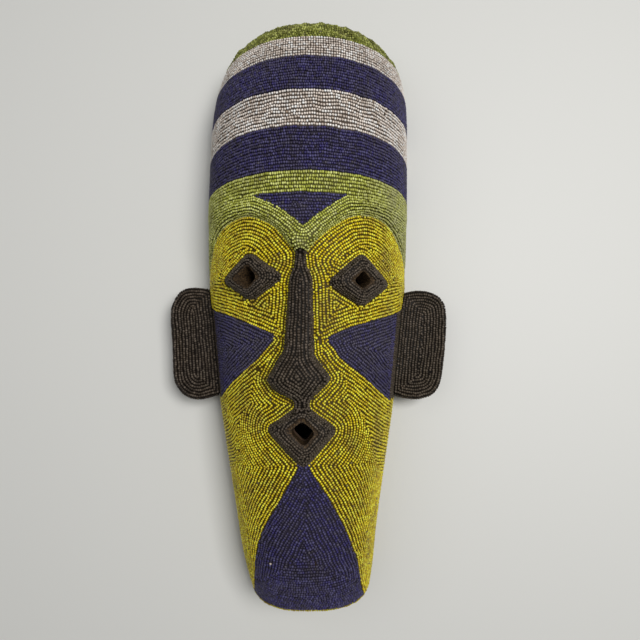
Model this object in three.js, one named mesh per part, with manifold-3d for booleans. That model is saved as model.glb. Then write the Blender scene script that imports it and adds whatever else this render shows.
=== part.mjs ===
// Beaded wooden mask, lying on its back with the face up.
// Millimetres. +X is the viewer's right, +Y runs to the crown, +Z comes out of the face.
// The flat back rim lies on Z = 0 and the origin is under the middle of the whole mask.

import * as THREE from 'three';
import Module from 'manifold-3d';

const wasm = await Module();
wasm.setup();

// Driving sizes of the carved wood

const MASK_HALF_LENGTH = 253;
const FOREHEAD_HEIGHT = 110;
const CROWN_STARTS = 60;
const FRAME_RISE = 8;
const MOUTH_RISE = 9;
const BROW_FLANK = 4;
const NOSE_FLANK = 4.5;
const EAR_TOP = 29.4;
const EAR_UNDERSIDE = 16;

// The hollow behind the face

const SIDE_WALL = 9;
const FOREHEAD_WALL = 13;
const CROWN_WALL = 11;
const CHIN_WALL = 10;

// The layer of beads, glued on the wood with a hair of space

const BEAD_TOP = 2.6;
const GAP = 0.3;
const RIM_MARGIN = 1.5;

// Heights and half widths along the mask, each as [y, value]

const FACE_CREST = smoothCurve([
  [-253, 60], [-237, 72], [-214, 82], [-170, 90], [-115, 95],
  [-60, 97], [-10, 100], [44, 103], [90, 104],
]);
const FACE_HALF_WIDTH = smoothCurve([
  [-253, 51.5], [-230, 56], [-185, 62.8], [-117, 74.2], [-89, 78.5],
  [-15, 86.5], [16, 90], [90, 90],
]);
const FOREHEAD_HALF_WIDTH = smoothCurve([[20, 90.5], [80, 92], [253, 92]]);
const HOLLOW_CREST = smoothCurve([
  [-243, 55], [-237, 61], [-214, 73], [-170, 81], [-115, 86],
  [-60, 88.5], [-10, 91.5], [20, 93], [60, 97],
]);
const NOSE_CREST = smoothCurve([
  [-92, 99], [-80, 105], [-66, 111.5], [-40, 111], [0, 109.5], [34, 109.5],
]);
const MIDDLE_LINE = smoothCurve([
  [-253, 2.4], [-200, -0.4], [-60, -1.4], [60, -1], [130, 0], [160, 0.8],
  [190, 2.2], [215, 3.4], [253, 4],
]);
const SQUARENESS = smoothCurve([
  [-253, 2.7], [-180, 2.3], [-60, 2.1], [253, 2.1],
]);

// Edges of the coloured stripes, straight across the mask

const CAP_EDGE = 210;
const UPPER_SILVER_EDGE = 187.5;
const UPPER_BLUE_EDGE = 156.5;
const LOWER_SILVER_EDGE = 125.5;
const LOWER_BLUE_EDGE = 90.5;

// Outlines seen from the front. Each outline is a closed chain of runs:
// a run of two points is straight and a longer run is a curve through its points.

const BROW_RUNS = [
  [[-120, 9], [-90.5, 9]],
  [[-90.5, 9], [-88.5, 20], [-85, 31], [-80, 44], [-72.5, 53], [-61, 59], [-45, 60.5], [-28, 53],
    [-17, 42.5], [-8, 31]],
  [[-8, 31], [0, 31]],
  [[0, 31], [12, 43.5], [22, 51.5], [33, 58.5], [47, 62], [60, 60], [69, 54.5], [77, 45],
    [84, 34], [88, 21], [90.5, 9]],
  [[90.5, 9], [120, 9]],
  [[120, 9], [120, 300]],
  [[120, 300], [-120, 300]],
  [[-120, 300], [-120, 9]],
];
const FOREHEAD_TRIANGLE_RUNS = [
  [[-41, 74], [30, 73]],
  [[30, 73], [11, 59], [-2, 48]],
  [[-2, 48], [-20.5, 63], [-41, 74]],
];
const EYE_FIELD_LEFT_RUNS = [
  [[-5, 90], [-120, 90]],
  [[-120, 90], [-120, 2]],
  [[-120, 2], [-92, 1]],
  [[-92, 1], [-84, -7.5], [-76.5, -11.5], [-63.5, -16.5], [-39, -26.5], [-24.5, -33], [-15, -36.5]],
  [[-15, -36.5], [-5, -36.5]],
  [[-5, -36.5], [-5, 90]],
];
const EYE_FIELD_RIGHT_RUNS = [
  [[0, -37.3], [11, -37.3]],
  [[11, -37.3], [16.5, -36], [20.5, -33.2], [37, -26], [49, -22.5], [72, -14], [82, -8], [92, 1]],
  [[92, 1], [120, 2]],
  [[120, 2], [120, 90]],
  [[120, 90], [0, 90]],
  [[0, 90], [0, -37.3]],
];
const CHEEK_LEFT_RUNS = [
  [[-120, 2], [-92, 1]],
  [[-92, 1], [-84, -7.5], [-76.5, -11.5], [-63.5, -16.5], [-39, -26.5], [-24.5, -33]],
  [[-24.5, -33], [-24.5, -37.2]],
  [[-24.5, -37.2], [-39, -53], [-54.5, -66], [-67, -78], [-74, -86]],
  [[-74, -86], [-120, -86]],
  [[-120, -86], [-120, 2]],
];
const CHEEK_RIGHT_RUNS = [
  [[16.5, -36], [20.5, -33.2], [37, -26], [49, -22.5], [72, -14], [82, -8], [92, 1]],
  [[92, 1], [120, 2]],
  [[120, 2], [120, -87]],
  [[120, -87], [68, -87]],
  [[68, -87], [54, -75], [41, -63], [26, -51.5], [20.5, -43.5], [16.5, -38.6]],
  [[16.5, -38.6], [16.5, -36]],
];
const CHIN_RUNS = [
  [[-6.5, -128], [-6.5, -135], [-12, -145.5], [-21, -162], [-29.8, -178], [-36.4, -194.5],
    [-39.8, -212], [-41.8, -230], [-45.3, -256]],
  [[-45.3, -256], [47.5, -256]],
  [[47.5, -256], [43, -236], [39.3, -213], [34.5, -198], [28.2, -181], [19.8, -163], [10.5, -147.5],
    [3, -135], [3, -128]],
  [[3, -128], [-6.5, -128]],
];
const LOWER_LEFT_RUNS = [
  [[-2, -36], [-15, -36.5]],
  [[-15, -36.5], [-24.5, -33]],
  [[-24.5, -33], [-24.5, -37.2]],
  [[-24.5, -37.2], [-39, -53], [-54.5, -66], [-67, -78], [-74, -86]],
  [[-74, -86], [-120, -86]],
  [[-120, -86], [-120, -270]],
  [[-120, -270], [-2, -270]],
  [[-2, -270], [-2, -36]],
];
const LOWER_RIGHT_RUNS = [
  [[-2, -270], [120, -270]],
  [[120, -270], [120, -87]],
  [[120, -87], [68, -87]],
  [[68, -87], [54, -75], [41, -63], [26, -51.5], [20.5, -43.5], [16.5, -38.6]],
  [[16.5, -38.6], [16.5, -36]],
  [[16.5, -36], [11, -37.3]],
  [[11, -37.3], [-2, -37.3]],
  [[-2, -37.3], [-2, -270]],
];
const NOSE_RUNS = [
  [[-6.8, 35], [-6.8, 31], [-8, 18], [-11.4, 9.5], [-12.8, -7], [-14.4, -30], [-16.1, -45],
    [-20.8, -53], [-24.7, -60.5], [-29.1, -68]],
  [[-29.1, -68], [-22, -76], [-8.5, -83], [-8.5, -92]],
  [[-8.5, -92], [2.5, -92]],
  [[2.5, -92], [2, -83], [10, -75.5], [17.9, -67]],
  [[17.9, -67], [13.2, -60.5], [7.8, -53], [5.3, -45], [4.2, -7], [3.2, 9], [-0.4, 18], [-1.4, 31],
    [-1.4, 35]],
  [[-1.4, 35], [-6.8, 35]],
];
const EAR_LEFT_RUNS = [
  [[-60, 7], [-91, 8.8]],
  [[-91, 8.8], [-106, 10.2], [-115.8, 6.8], [-122.1, -3.5], [-123.2, -14], [-121.2, -39],
    [-119.5, -66], [-116.3, -76.5], [-108.5, -84.2], [-97.5, -86.6], [-87, -84.2], [-76, -81.5]],
  [[-76, -81.5], [-60, -80]],
  [[-60, -80], [-60, 7]],
];
const EAR_RIGHT_RUNS = [
  [[60, -79.5], [75, -81.5]],
  [[75, -81.5], [86, -85.2], [98.5, -86.2], [110, -82.6], [116, -75], [119, -62], [122.2, -35.5],
    [123.2, -14], [121.4, -2.5], [114, 4.6], [101.5, 7.4], [88, 5.4]],
  [[88, 5.4], [60, 5]],
  [[60, 5], [60, -79.5]],
];

// Diamonds of the eye and mouth frames, as the top, right, bottom and left corner

const EYE_LEFT = {
  foot: [[-44.6, 31], [-17, 10.5], [-42.5, -6.5], [-68.5, 11.8]],
  top: [[-44.5, 26.5], [-25, 10.5], [-43.5, -3], [-63, 10]],
  hole: [[-46.3, 18.5], [-36.5, 10.7], [-45.7, 3.5], [-53.5, 10.7]],
  holeLean: -26,
  rise: FRAME_RISE,
};
const EYE_RIGHT = {
  foot: [[43, 31], [67, 8.5], [43, -11], [15.5, 6]],
  top: [[43.5, 26], [61.5, 8.5], [43, -7], [24.5, 6.5]],
  hole: [[44.4, 15.5], [52, 8.3], [43.6, 2.5], [35.5, 7.7]],
  holeLean: 26,
  rise: FRAME_RISE,
};
const MOUTH = {
  foot: [[-3, -86], [24, -105.7], [-2, -135], [-30.5, -105.5]],
  top: [[-3, -91.5], [17.5, -105.7], [-2, -127.5], [-24, -105.5]],
  hole: [[-2.7, -98.5], [6.2, -106.5], [-1.2, -115.5], [-10.8, -105.8]],
  bareEdge: [[-2.7, -95.5], [11, -105.8], [-0.5, -118.5], [-16.8, -104.6]],
  holeLean: 0,
  rise: MOUTH_RISE,
};
// How finely the curved surfaces and outlines are divided

const COLUMNS = 14;
const NOSE_COLUMNS = 8;
const STEPS_PER_KNOT = 1;

const CORNER_SHARE = 0.16;
const HOLE_CORNER_SHARE = 0.3;
const EYE_BARE_EDGE = 0.8;

// Curves and outlines

function smoothCurve(stations) {
  const slopes = [];
  for (let i = 0; i + 1 < stations.length; i += 1) {
    slopes.push((stations[i + 1][1] - stations[i][1]) / (stations[i + 1][0] - stations[i][0]));
  }
  const tangents = stations.map((_, i) => {
    const before = slopes[Math.max(i - 1, 0)];
    const after = slopes[Math.min(i, slopes.length - 1)];
    return before * after <= 0 ? 0 : (2 * before * after) / (before + after);
  });
  return (y) => {
    const clamped = Math.min(Math.max(y, stations[0][0]), stations.at(-1)[0]);
    let i = 0;
    while (i < stations.length - 2 && clamped > stations[i + 1][0]) i += 1;
    const span = stations[i + 1][0] - stations[i][0];
    const s = (clamped - stations[i][0]) / span;
    const startWeight = 2 * s ** 3 - 3 * s ** 2 + 1;
    const startTangent = (s ** 3 - 2 * s ** 2 + s) * span * tangents[i];
    const endTangent = (s ** 3 - s ** 2) * span * tangents[i + 1];
    return startWeight * stations[i][1] + startTangent
      + (1 - startWeight) * stations[i + 1][1] + endTangent;
  };
}

function outline(runs) {
  const points = [];
  for (const run of runs) {
    const knots = run.map(([x, y]) => new THREE.Vector2(x, y));
    const curve = new THREE.SplineCurve(knots);
    const steps = run.length === 2 ? 1 : (run.length - 1) * STEPS_PER_KNOT;
    points.push(...curve.getPoints(steps).slice(0, -1));
  }
  return counterClockwise(points);
}

function counterClockwise(points) {
  return THREE.ShapeUtils.area(points) < 0 ? points.slice().reverse() : points;
}

// A four-cornered loop whose corners are cut round, always with the same count of points
function roundedDiamond(corners, share) {
  const points = [];
  corners.forEach((corner, i) => {
    const here = new THREE.Vector2(...corner);
    const previous = new THREE.Vector2(...corners[(i + 3) % 4]);
    const next = new THREE.Vector2(...corners[(i + 1) % 4]);
    const bend = new THREE.QuadraticBezierCurve(
      here.clone().lerp(previous, share),
      here,
      here.clone().lerp(next, share),
    );
    points.push(...bend.getPoints(2));
  });
  return counterClockwise(points);
}

// Moves every side of a counter-clockwise loop outwards by the same distance
function grow(points, distance) {
  const count = points.length;
  return points.map((point, i) => {
    const into = point.clone().sub(points[(i + count - 1) % count]).normalize();
    const out = points[(i + 1) % count].clone().sub(point).normalize();
    const normal = new THREE.Vector2(into.y + out.y, -into.x - out.x).normalize();
    const mitre = Math.max(normal.x * into.y - normal.y * into.x, 0.4);
    return point.clone().addScaledVector(normal, distance / mitre);
  });
}

// Closed solids built from rings of points

function solidFromFaces(vertices, triangles) {
  const mesh = new wasm.Mesh({
    numProp: 3,
    vertProperties: new Float32Array(vertices.flatMap((v) => [v.x, v.y, v.z])),
    triVerts: new Uint32Array(triangles.flat()),
  });
  return new wasm.Manifold(mesh);
}

// Rings run counter-clockwise seen from above and are listed from the bottom up
function stackedRings(rings) {
  const count = rings[0].length;
  const vertices = rings.flat();
  const triangles = [];
  for (let level = 0; level + 1 < rings.length; level += 1) {
    for (let i = 0; i < count; i += 1) {
      const a = level * count + i;
      const b = level * count + ((i + 1) % count);
      triangles.push([a, b, b + count], [a, b + count, a + count]);
    }
  }
  const last = (rings.length - 1) * count;
  const lid = (ring) => THREE.ShapeUtils.triangulateShape(
    ring.map((v) => new THREE.Vector2(v.x, v.y)),
    [],
  );
  lid(rings[0]).forEach(([a, b, c]) => triangles.push([a, c, b]));
  lid(rings.at(-1)).forEach(([a, b, c]) => triangles.push([last + a, last + b, last + c]));
  return solidFromFaces(vertices, triangles);
}

function prism(points, low, high) {
  const ring = (z) => points.map((p) => new THREE.Vector3(p.x, p.y, z));
  return stackedRings([ring(low), ring(high)]);
}

// A block whose side slopes inwards between two surfaces and is upright elsewhere
function slopedBlock(foot, top, lowSurface, highSurface) {
  const flat = (points, z) => points.map((p) => new THREE.Vector3(p.x, p.y, z));
  const on = (points, surface) => points.map((p) => new THREE.Vector3(p.x, p.y, surface(p.x, p.y)));
  return stackedRings([flat(foot, -10), on(foot, lowSurface), on(top, highSurface), flat(top, 160)]);
}

// A half round log: arched sections standing on a flat floor, one for each station along Y
function archedLog(stations, sectionAt, floor = 0, columns = COLUMNS) {
  const vertices = [];
  for (const y of stations) {
    const { crest, half } = sectionAt(y);
    const bend = 2 / SQUARENESS(y);
    for (let i = 0; i <= columns; i += 1) {
      const angle = ((i / columns) - 0.5) * Math.PI;
      const across = Math.sign(angle) * Math.abs(Math.sin(angle)) ** bend;
      const upright = i === 0 || i === columns ? floor : crest * Math.cos(angle);
      vertices.push(new THREE.Vector3(MIDDLE_LINE(y) + half * across, y, upright));
    }
  }
  const wide = columns + 1;
  const triangles = [];
  for (let row = 0; row + 1 < stations.length; row += 1) {
    for (let i = 0; i < columns; i += 1) {
      const a = row * wide + i;
      triangles.push([a, a + 1, a + wide + 1], [a, a + wide + 1, a + wide]);
    }
    const left = row * wide;
    const right = left + columns;
    triangles.push([left, left + wide, right + wide], [left, right + wide, right]);
  }
  const last = (stations.length - 1) * wide;
  for (let i = 1; i < columns; i += 1) {
    triangles.push([0, i + 1, i], [last, last + i, last + i + 1]);
  }
  return solidFromFaces(vertices, triangles);
}

function spread(from, to, count) {
  return Array.from({ length: count + 1 }, (_, i) => from + ((to - from) * i) / count);
}

// Surfaces of the carving. "raise" lifts a surface above the bare wood.

function domeSection(y, raise) {
  const reach = MASK_HALF_LENGTH + raise - CROWN_STARTS;
  const s = Math.min(Math.max((y - CROWN_STARTS) / reach, 0), 1);
  return {
    crest: (FOREHEAD_HEIGHT + raise) * (1 - s ** 3.4) ** (1 / 2.6),
    half: (FOREHEAD_HALF_WIDTH(y) + raise) * (1 - s ** 7) ** (1 / 2.4),
  };
}

function faceSection(y, raise) {
  return { crest: FACE_CREST(y) + raise, half: FACE_HALF_WIDTH(y) + raise };
}

function noseSection(y, raise) {
  return { crest: NOSE_CREST(y) + raise, half: 75 + raise };
}

function heightOn(sectionAt, raise) {
  return (x, y) => {
    const { crest, half } = sectionAt(y, raise);
    const across = Math.min(Math.abs(x - MIDDLE_LINE(y)) / half, 1);
    return crest * Math.sqrt(1 - across ** SQUARENESS(y));
  };
}

function crownStations(reach) {
  const shares = [0, 0.2, 0.35, 0.49, 0.6, 0.7, 0.79, 0.86, 0.92, 0.965, 0.99, 0.999];
  return shares.map((share) => CROWN_STARTS + share * (reach - CROWN_STARTS));
}

function domeBlock(raise) {
  const stations = [...spread(0, 30, 1), ...crownStations(MASK_HALF_LENGTH + raise)];
  return archedLog(stations, (y) => domeSection(y, raise));
}

function faceBlock(raise) {
  const chin = -MASK_HALF_LENGTH - raise;
  const stations = [chin, -246, -237, -225, ...spread(-208, 80, 14)];
  return archedLog(stations, (y) => faceSection(y, raise));
}

// The brow leans back over the eyes, and dies out at the nose and at the temples
function browLean(point) {
  const fromNose = Math.hypot(point.x + 4, point.y - 31) / 22;
  const fromTemple = (point.y - 9) / 22;
  const share = THREE.MathUtils.clamp(Math.min(fromNose, fromTemple), 0, 1);
  const fromEye = new THREE.Vector2(point.x - Math.sign(point.x) * 45, point.y - 8).normalize();
  return point.clone().addScaledVector(fromEye, BROW_FLANK * share);
}

function forehead(raise) {
  const foot = grow(outline(BROW_RUNS), raise);
  const top = foot.map(browLean);
  const block = slopedBlock(foot, top, heightOn(faceSection, raise - 2), heightOn(domeSection, raise + 1));
  return domeBlock(raise).intersect(block);
}

function nose(raise) {
  const foot = grow(outline(NOSE_RUNS), raise);
  const top = grow(outline(NOSE_RUNS), raise - NOSE_FLANK * 0.45);
  const block = slopedBlock(foot, top, heightOn(faceSection, raise - 2), heightOn(noseSection, raise + 1));
  const bridge = archedLog(spread(-100, 40, 7), (y) => noseSection(y, raise), 0, NOSE_COLUMNS);
  return bridge.intersect(block);
}

function frame(shape, raise) {
  const foot = grow(roundedDiamond(shape.foot, CORNER_SHARE), raise);
  const top = grow(roundedDiamond(shape.top, CORNER_SHARE), raise);
  const plateau = raise + shape.rise;
  const low = heightOn(faceSection, raise - 2);
  const block = slopedBlock(foot, top, low, heightOn(faceSection, plateau + 1));
  return faceBlock(plateau).intersect(block);
}

function ear(runs, raise) {
  return prism(grow(outline(runs), raise), EAR_UNDERSIDE, EAR_TOP + raise);
}

// A hole through the face, leaning outwards with the surface it goes through
function hole(shape, corners, raise) {
  const loop = grow(roundedDiamond(corners, HOLE_CORNER_SHARE), raise);
  const centreX = (corners[1][0] + corners[3][0]) / 2;
  const centreY = (corners[0][1] + corners[2][1]) / 2;
  const centreZ = heightOn(faceSection, shape.rise)(centreX, centreY);
  const lean = THREE.MathUtils.degToRad(shape.holeLean);
  const drill = loop.map((p) => new THREE.Vector2((p.x - centreX) * Math.cos(lean), p.y - centreY));
  return prism(drill, -45, 40)
    .rotate([0, shape.holeLean, 0])
    .translate([centreX, centreY, centreZ]);
}

function union(solids) {
  return solids.reduce((sum, solid) => sum.add(solid));
}

function carving(raise) {
  return union([
    faceBlock(raise),
    forehead(raise),
    nose(raise),
    frame(EYE_LEFT, raise),
    frame(EYE_RIGHT, raise),
    frame(MOUTH, raise),
    ear(EAR_LEFT_RUNS, raise),
    ear(EAR_RIGHT_RUNS, raise),
  ]);
}

function hollow() {
  const crownEnd = MASK_HALF_LENGTH - CROWN_WALL;
  const chinEnd = CHIN_WALL - MASK_HALF_LENGTH;
  const stations = [...spread(chinEnd, 40, 12), ...crownStations(crownEnd)];
  const section = (y) => {
    const s = Math.min(Math.max((y - CROWN_STARTS) / (crownEnd - CROWN_STARTS), 0), 1);
    const inDome = {
      crest: (FOREHEAD_HEIGHT - FOREHEAD_WALL) * (1 - s ** 3.4) ** (1 / 2.6),
      half: (FACE_HALF_WIDTH(90) - SIDE_WALL) * (1 - s ** 7) ** (1 / 2.4),
    };
    const inFace = { crest: HOLLOW_CREST(y), half: FACE_HALF_WIDTH(y) - SIDE_WALL };
    return y > CROWN_STARTS ? inDome : inFace;
  };
  return archedLog(stations, section, -1);
}

function rectangle(left, right, low, high) {
  return [[left, low], [right, low], [right, high], [left, high]].map((p) => new THREE.Vector2(...p));
}

// Pieces of the mask

const holes = union([
  hole(EYE_LEFT, EYE_LEFT.hole, 0),
  hole(EYE_RIGHT, EYE_RIGHT.hole, 0),
  hole(MOUTH, MOUTH.hole, 0),
]);
const bareEdges = union([
  hole(EYE_LEFT, EYE_LEFT.hole, EYE_BARE_EDGE),
  hole(EYE_RIGHT, EYE_RIGHT.hole, EYE_BARE_EDGE),
  hole(MOUTH, MOUTH.bareEdge, 0),
]);

const woodenMask = carving(0).subtract(hollow()).subtract(holes);

const underBeads = carving(GAP);
const neighbour = BEAD_TOP + GAP;

function beadLayer(solid) {
  const aboveRim = prism(rectangle(-160, 160, -280, 280), RIM_MARGIN, 200);
  return solid.subtract(underBeads).subtract(bareEdges).intersect(aboveRim);
}

function region(runs) {
  return prism(grow(outline(runs), -GAP / 2), -5, 200);
}

function band(low, high) {
  return prism(rectangle(-160, 160, low + GAP / 2, high - GAP / 2), -5, 200);
}

const domeBeads = beadLayer(forehead(BEAD_TOP));
const trianglePrism = prism(outline(FOREHEAD_TRIANGLE_RUNS), 60, 200);
const triangleInset = region(FOREHEAD_TRIANGLE_RUNS);
const triangleGrown = prism(grow(outline(FOREHEAD_TRIANGLE_RUNS), GAP / 2), 60, 200);

const faceBeads = beadLayer(faceBlock(BEAD_TOP))
  .subtract(forehead(neighbour))
  .subtract(nose(neighbour))
  .subtract(frame(EYE_LEFT, neighbour))
  .subtract(frame(EYE_RIGHT, neighbour))
  .subtract(frame(MOUTH, neighbour));
const faceFront = faceBeads.intersect(band(-MASK_HALF_LENGTH, 300));

function earBeads(runs) {
  return beadLayer(ear(runs, BEAD_TOP)).subtract(faceBlock(neighbour)).subtract(forehead(neighbour));
}

const PAINT = {
  wood: { color: 0x6b4526, roughness: 0.8 },
  green: { color: 0x97a53c, roughness: 0.35 },
  silver: { color: 0xbfb0ae, roughness: 0.3 },
  blue: { color: 0x2e2a5c, roughness: 0.35 },
  yellow: { color: 0xc4a814, roughness: 0.35 },
  dark: { color: 0x3b3431, roughness: 0.4 },
};

const group = new THREE.Group();
group.name = 'beaded_wooden_mask';

function addPiece(name, solid, paint) {
  const main = solid.decompose().sort((a, b) => b.volume() - a.volume())[0];
  const { vertProperties, triVerts, numProp } = main.getMesh();
  const positions = [];
  for (let i = 0; i < vertProperties.length; i += numProp) {
    positions.push(vertProperties[i], vertProperties[i + 1], vertProperties[i + 2]);
  }
  const geometry = new THREE.BufferGeometry();
  geometry.setAttribute('position', new THREE.Float32BufferAttribute(positions, 3));
  geometry.setIndex(Array.from(triVerts));
  geometry.computeVertexNormals();
  const mesh = new THREE.Mesh(geometry, new THREE.MeshStandardMaterial(paint));
  mesh.name = name;
  group.add(mesh);
}

addPiece('wooden_mask', woodenMask, PAINT.wood);

function stripe(low, high) {
  return domeBeads.intersect(band(low, high));
}

addPiece('beads_crown_green', stripe(CAP_EDGE, 300), PAINT.green);
addPiece('beads_stripe_silver_upper', stripe(UPPER_SILVER_EDGE, CAP_EDGE), PAINT.silver);
addPiece('beads_stripe_blue_upper', stripe(UPPER_BLUE_EDGE, UPPER_SILVER_EDGE), PAINT.blue);
addPiece('beads_stripe_silver_lower', stripe(LOWER_SILVER_EDGE, UPPER_BLUE_EDGE), PAINT.silver);
addPiece('beads_stripe_blue_lower', stripe(LOWER_BLUE_EDGE, LOWER_SILVER_EDGE), PAINT.blue);
addPiece('beads_brow_green', stripe(-50, LOWER_BLUE_EDGE).subtract(triangleGrown), PAINT.green);
addPiece('beads_forehead_triangle_blue', domeBeads.intersect(triangleInset), PAINT.blue);

addPiece('beads_eye_field_yellow_left', faceFront.intersect(region(EYE_FIELD_LEFT_RUNS)), PAINT.yellow);
addPiece('beads_eye_field_yellow_right', faceFront.intersect(region(EYE_FIELD_RIGHT_RUNS)), PAINT.yellow);
addPiece('beads_cheek_blue_left', faceFront.intersect(region(CHEEK_LEFT_RUNS)), PAINT.blue);
addPiece('beads_cheek_blue_right', faceFront.intersect(region(CHEEK_RIGHT_RUNS)), PAINT.blue);
addPiece('beads_chin_blue', faceFront.intersect(region(CHIN_RUNS)), PAINT.blue);

const chinPrism = prism(grow(outline(CHIN_RUNS), GAP / 2), -5, 200);
function lowerFace(runs) {
  return faceFront.intersect(region(runs)).subtract(chinPrism);
}

addPiece('beads_lower_face_yellow_left', lowerFace(LOWER_LEFT_RUNS), PAINT.yellow);
addPiece('beads_lower_face_yellow_right', lowerFace(LOWER_RIGHT_RUNS), PAINT.yellow);
addPiece('beads_chin_end_yellow', faceBeads.intersect(band(-300, -MASK_HALF_LENGTH)), PAINT.yellow);

addPiece('beads_eye_frame_left', beadLayer(frame(EYE_LEFT, BEAD_TOP)), PAINT.dark);
addPiece('beads_eye_frame_right', beadLayer(frame(EYE_RIGHT, BEAD_TOP)), PAINT.dark);
addPiece('beads_mouth_frame', beadLayer(frame(MOUTH, BEAD_TOP)).subtract(nose(neighbour)), PAINT.dark);
addPiece('beads_nose', beadLayer(nose(BEAD_TOP)).subtract(forehead(neighbour)), PAINT.dark);
addPiece('beads_ear_left', earBeads(EAR_LEFT_RUNS), PAINT.dark);
addPiece('beads_ear_right', earBeads(EAR_RIGHT_RUNS), PAINT.dark);

export default group;
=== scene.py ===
"""The looks of the beaded wooden mask: every bead, the glue between them and the carved wood.

Lengths are in millimetres until a mesh is made. The mask lies face up with its back rim on Z = 0,
+X is the viewer's right, +Y the crown and +Z comes out of the face.
"""

import math
from collections import namedtuple

import bpy
import numpy as np
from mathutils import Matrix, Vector


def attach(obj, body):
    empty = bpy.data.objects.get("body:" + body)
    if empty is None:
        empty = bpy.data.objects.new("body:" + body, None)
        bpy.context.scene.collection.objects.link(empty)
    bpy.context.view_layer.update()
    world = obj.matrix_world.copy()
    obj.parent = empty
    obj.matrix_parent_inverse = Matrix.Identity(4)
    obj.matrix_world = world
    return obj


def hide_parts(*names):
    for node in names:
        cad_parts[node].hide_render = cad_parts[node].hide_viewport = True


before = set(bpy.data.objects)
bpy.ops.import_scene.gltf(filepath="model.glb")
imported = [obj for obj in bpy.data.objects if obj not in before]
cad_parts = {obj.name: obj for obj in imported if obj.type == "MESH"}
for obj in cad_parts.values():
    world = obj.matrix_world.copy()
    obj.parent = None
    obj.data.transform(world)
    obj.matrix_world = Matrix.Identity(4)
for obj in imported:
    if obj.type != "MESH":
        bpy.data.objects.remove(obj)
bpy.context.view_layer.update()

MM = 0.001
SEED = 41
rng = np.random.default_rng(SEED)

# Driving sizes of the carving

HALF_LENGTH = 253.0
FOREHEAD_HEIGHT = 110.0
CROWN_STARTS = 60.0
DOME_PROFILE, DOME_PLAN = (3.4, 2.6), (7, 2.4)
FACE_SQUARENESS = 2.1
FRAME_RISE = 8.0
MOUTH_RISE = 9.0
BROW_FLANK = 4.0
EAR_TOP = 29.4
EAR_UNDERSIDE = 16.0
NOSE_TOP_HALF = 75.0

# Stripe edges

CAP_EDGE = 210.0
UPPER_SILVER_EDGE = 187.5
UPPER_BLUE_EDGE = 156.5
LOWER_SILVER_EDGE = 125.5
LOWER_BLUE_EDGE = 90.5

# Bead sizes. The pitch is from row to row and the step is from bead to bead along the thread.

PITCH, STEP = 2.6, 2.0
BROW_PITCH, GREEN_STEP = 2.3, 1.85
BLUE_STEP = 1.85
TRIANGLE_PITCH = 2.45
CHEEK_PITCH = 2.5
CHIN_PITCH = 2.35
NOSE_PITCH = 2.45
FRAME_PITCH = 2.2
DARK_PITCH = 2.7
BEAD_SEAT = 0.35
BEAD_CENTRE = 1.4
RIM_CLEARANCE = 2.6

# Curves and loops


def smooth_curve(stations):
    """A monotone curve through [position, value] stations."""
    at, value = np.array(stations, float).T
    span = np.diff(at)
    slope = np.diff(value) / span
    tangent = np.zeros(len(at))
    tangent[0], tangent[-1] = slope[0], slope[-1]
    before, after = slope[:-1], slope[1:]
    total = before + after
    safe = np.where(total == 0, 1, total)
    tangent[1:-1] = np.where(before * after > 0, 2 * before * after / safe, 0)

    def curve(where):
        x = np.clip(np.asarray(where, float), at[0], at[-1])
        i = np.clip(np.searchsorted(at, x, side="right") - 1, 0, len(span) - 1)
        s = (x - at[i]) / span[i]
        start = 2 * s**3 - 3 * s**2 + 1
        return (
            start * value[i]
            + (s**3 - 2 * s**2 + s) * span[i] * tangent[i]
            + (1 - start) * value[i + 1]
            + (s**3 - s**2) * span[i] * tangent[i + 1]
        )

    return curve


def run_points(run, steps=8):
    """A run of two points is straight; a longer run is a curve through its points."""
    knots = np.array(run, float)
    if len(knots) == 2:
        return knots
    t = np.linspace(0, 1, steps, endpoint=False)[:, None]
    pieces = []
    for i in range(len(knots) - 1):
        p0 = knots[max(i - 1, 0)]
        p1, p2 = knots[i], knots[i + 1]
        p3 = knots[min(i + 2, len(knots) - 1)]
        v0, v1 = (p2 - p0) / 2, (p3 - p1) / 2
        pieces.append(
            (2 * p1 - 2 * p2 + v0 + v1) * t**3 + (-3 * p1 + 3 * p2 - 2 * v0 - v1) * t**2 + v0 * t + p1
        )
    return np.vstack(pieces + [knots[-1:]])


def closed(*parts):
    """The loop through its parts. A tuple is a corner and a list is a run of points."""
    points = np.vstack([run_points(part) if isinstance(part, list) else [part] for part in parts])
    return points[(points != np.roll(points, -1, axis=0)).any(1)]


CORNER_STEPS = 6
TOP, RIGHT, BOTTOM, LEFT = range(4)


def rounded_diamond(corners, share):
    """A loop of four rounded corners, top, right, bottom and left."""
    corners = np.array(corners, float)
    t = np.linspace(0, 1, CORNER_STEPS)[:, None]
    loop = []
    for i in range(4):
        here, last, following = corners[i], corners[i - 1], corners[(i + 1) % 4]
        start, end = here + (last - here) * share, here + (following - here) * share
        loop.append(start * (1 - t) ** 2 + 2 * here * t * (1 - t) + end * t**2)
    return np.vstack(loop)


def corner_of(diamond, corner):
    """The points of one rounded corner."""
    return diamond[CORNER_STEPS * corner : CORNER_STEPS * (corner + 1)]


def inside(x, y, loop):
    """Whether plan points lie inside a loop."""
    x, y = np.asarray(x, float), np.asarray(y, float)
    result = np.zeros(x.shape, bool)
    ends = np.roll(loop, -1, axis=0)
    for (ax, ay), (bx, by) in zip(loop, ends):
        if ay == by:
            continue
        crossing = (ay > y) != (by > y)
        result ^= crossing & (x < (bx - ax) * (y - ay) / (by - ay) + ax)
    return result


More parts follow.
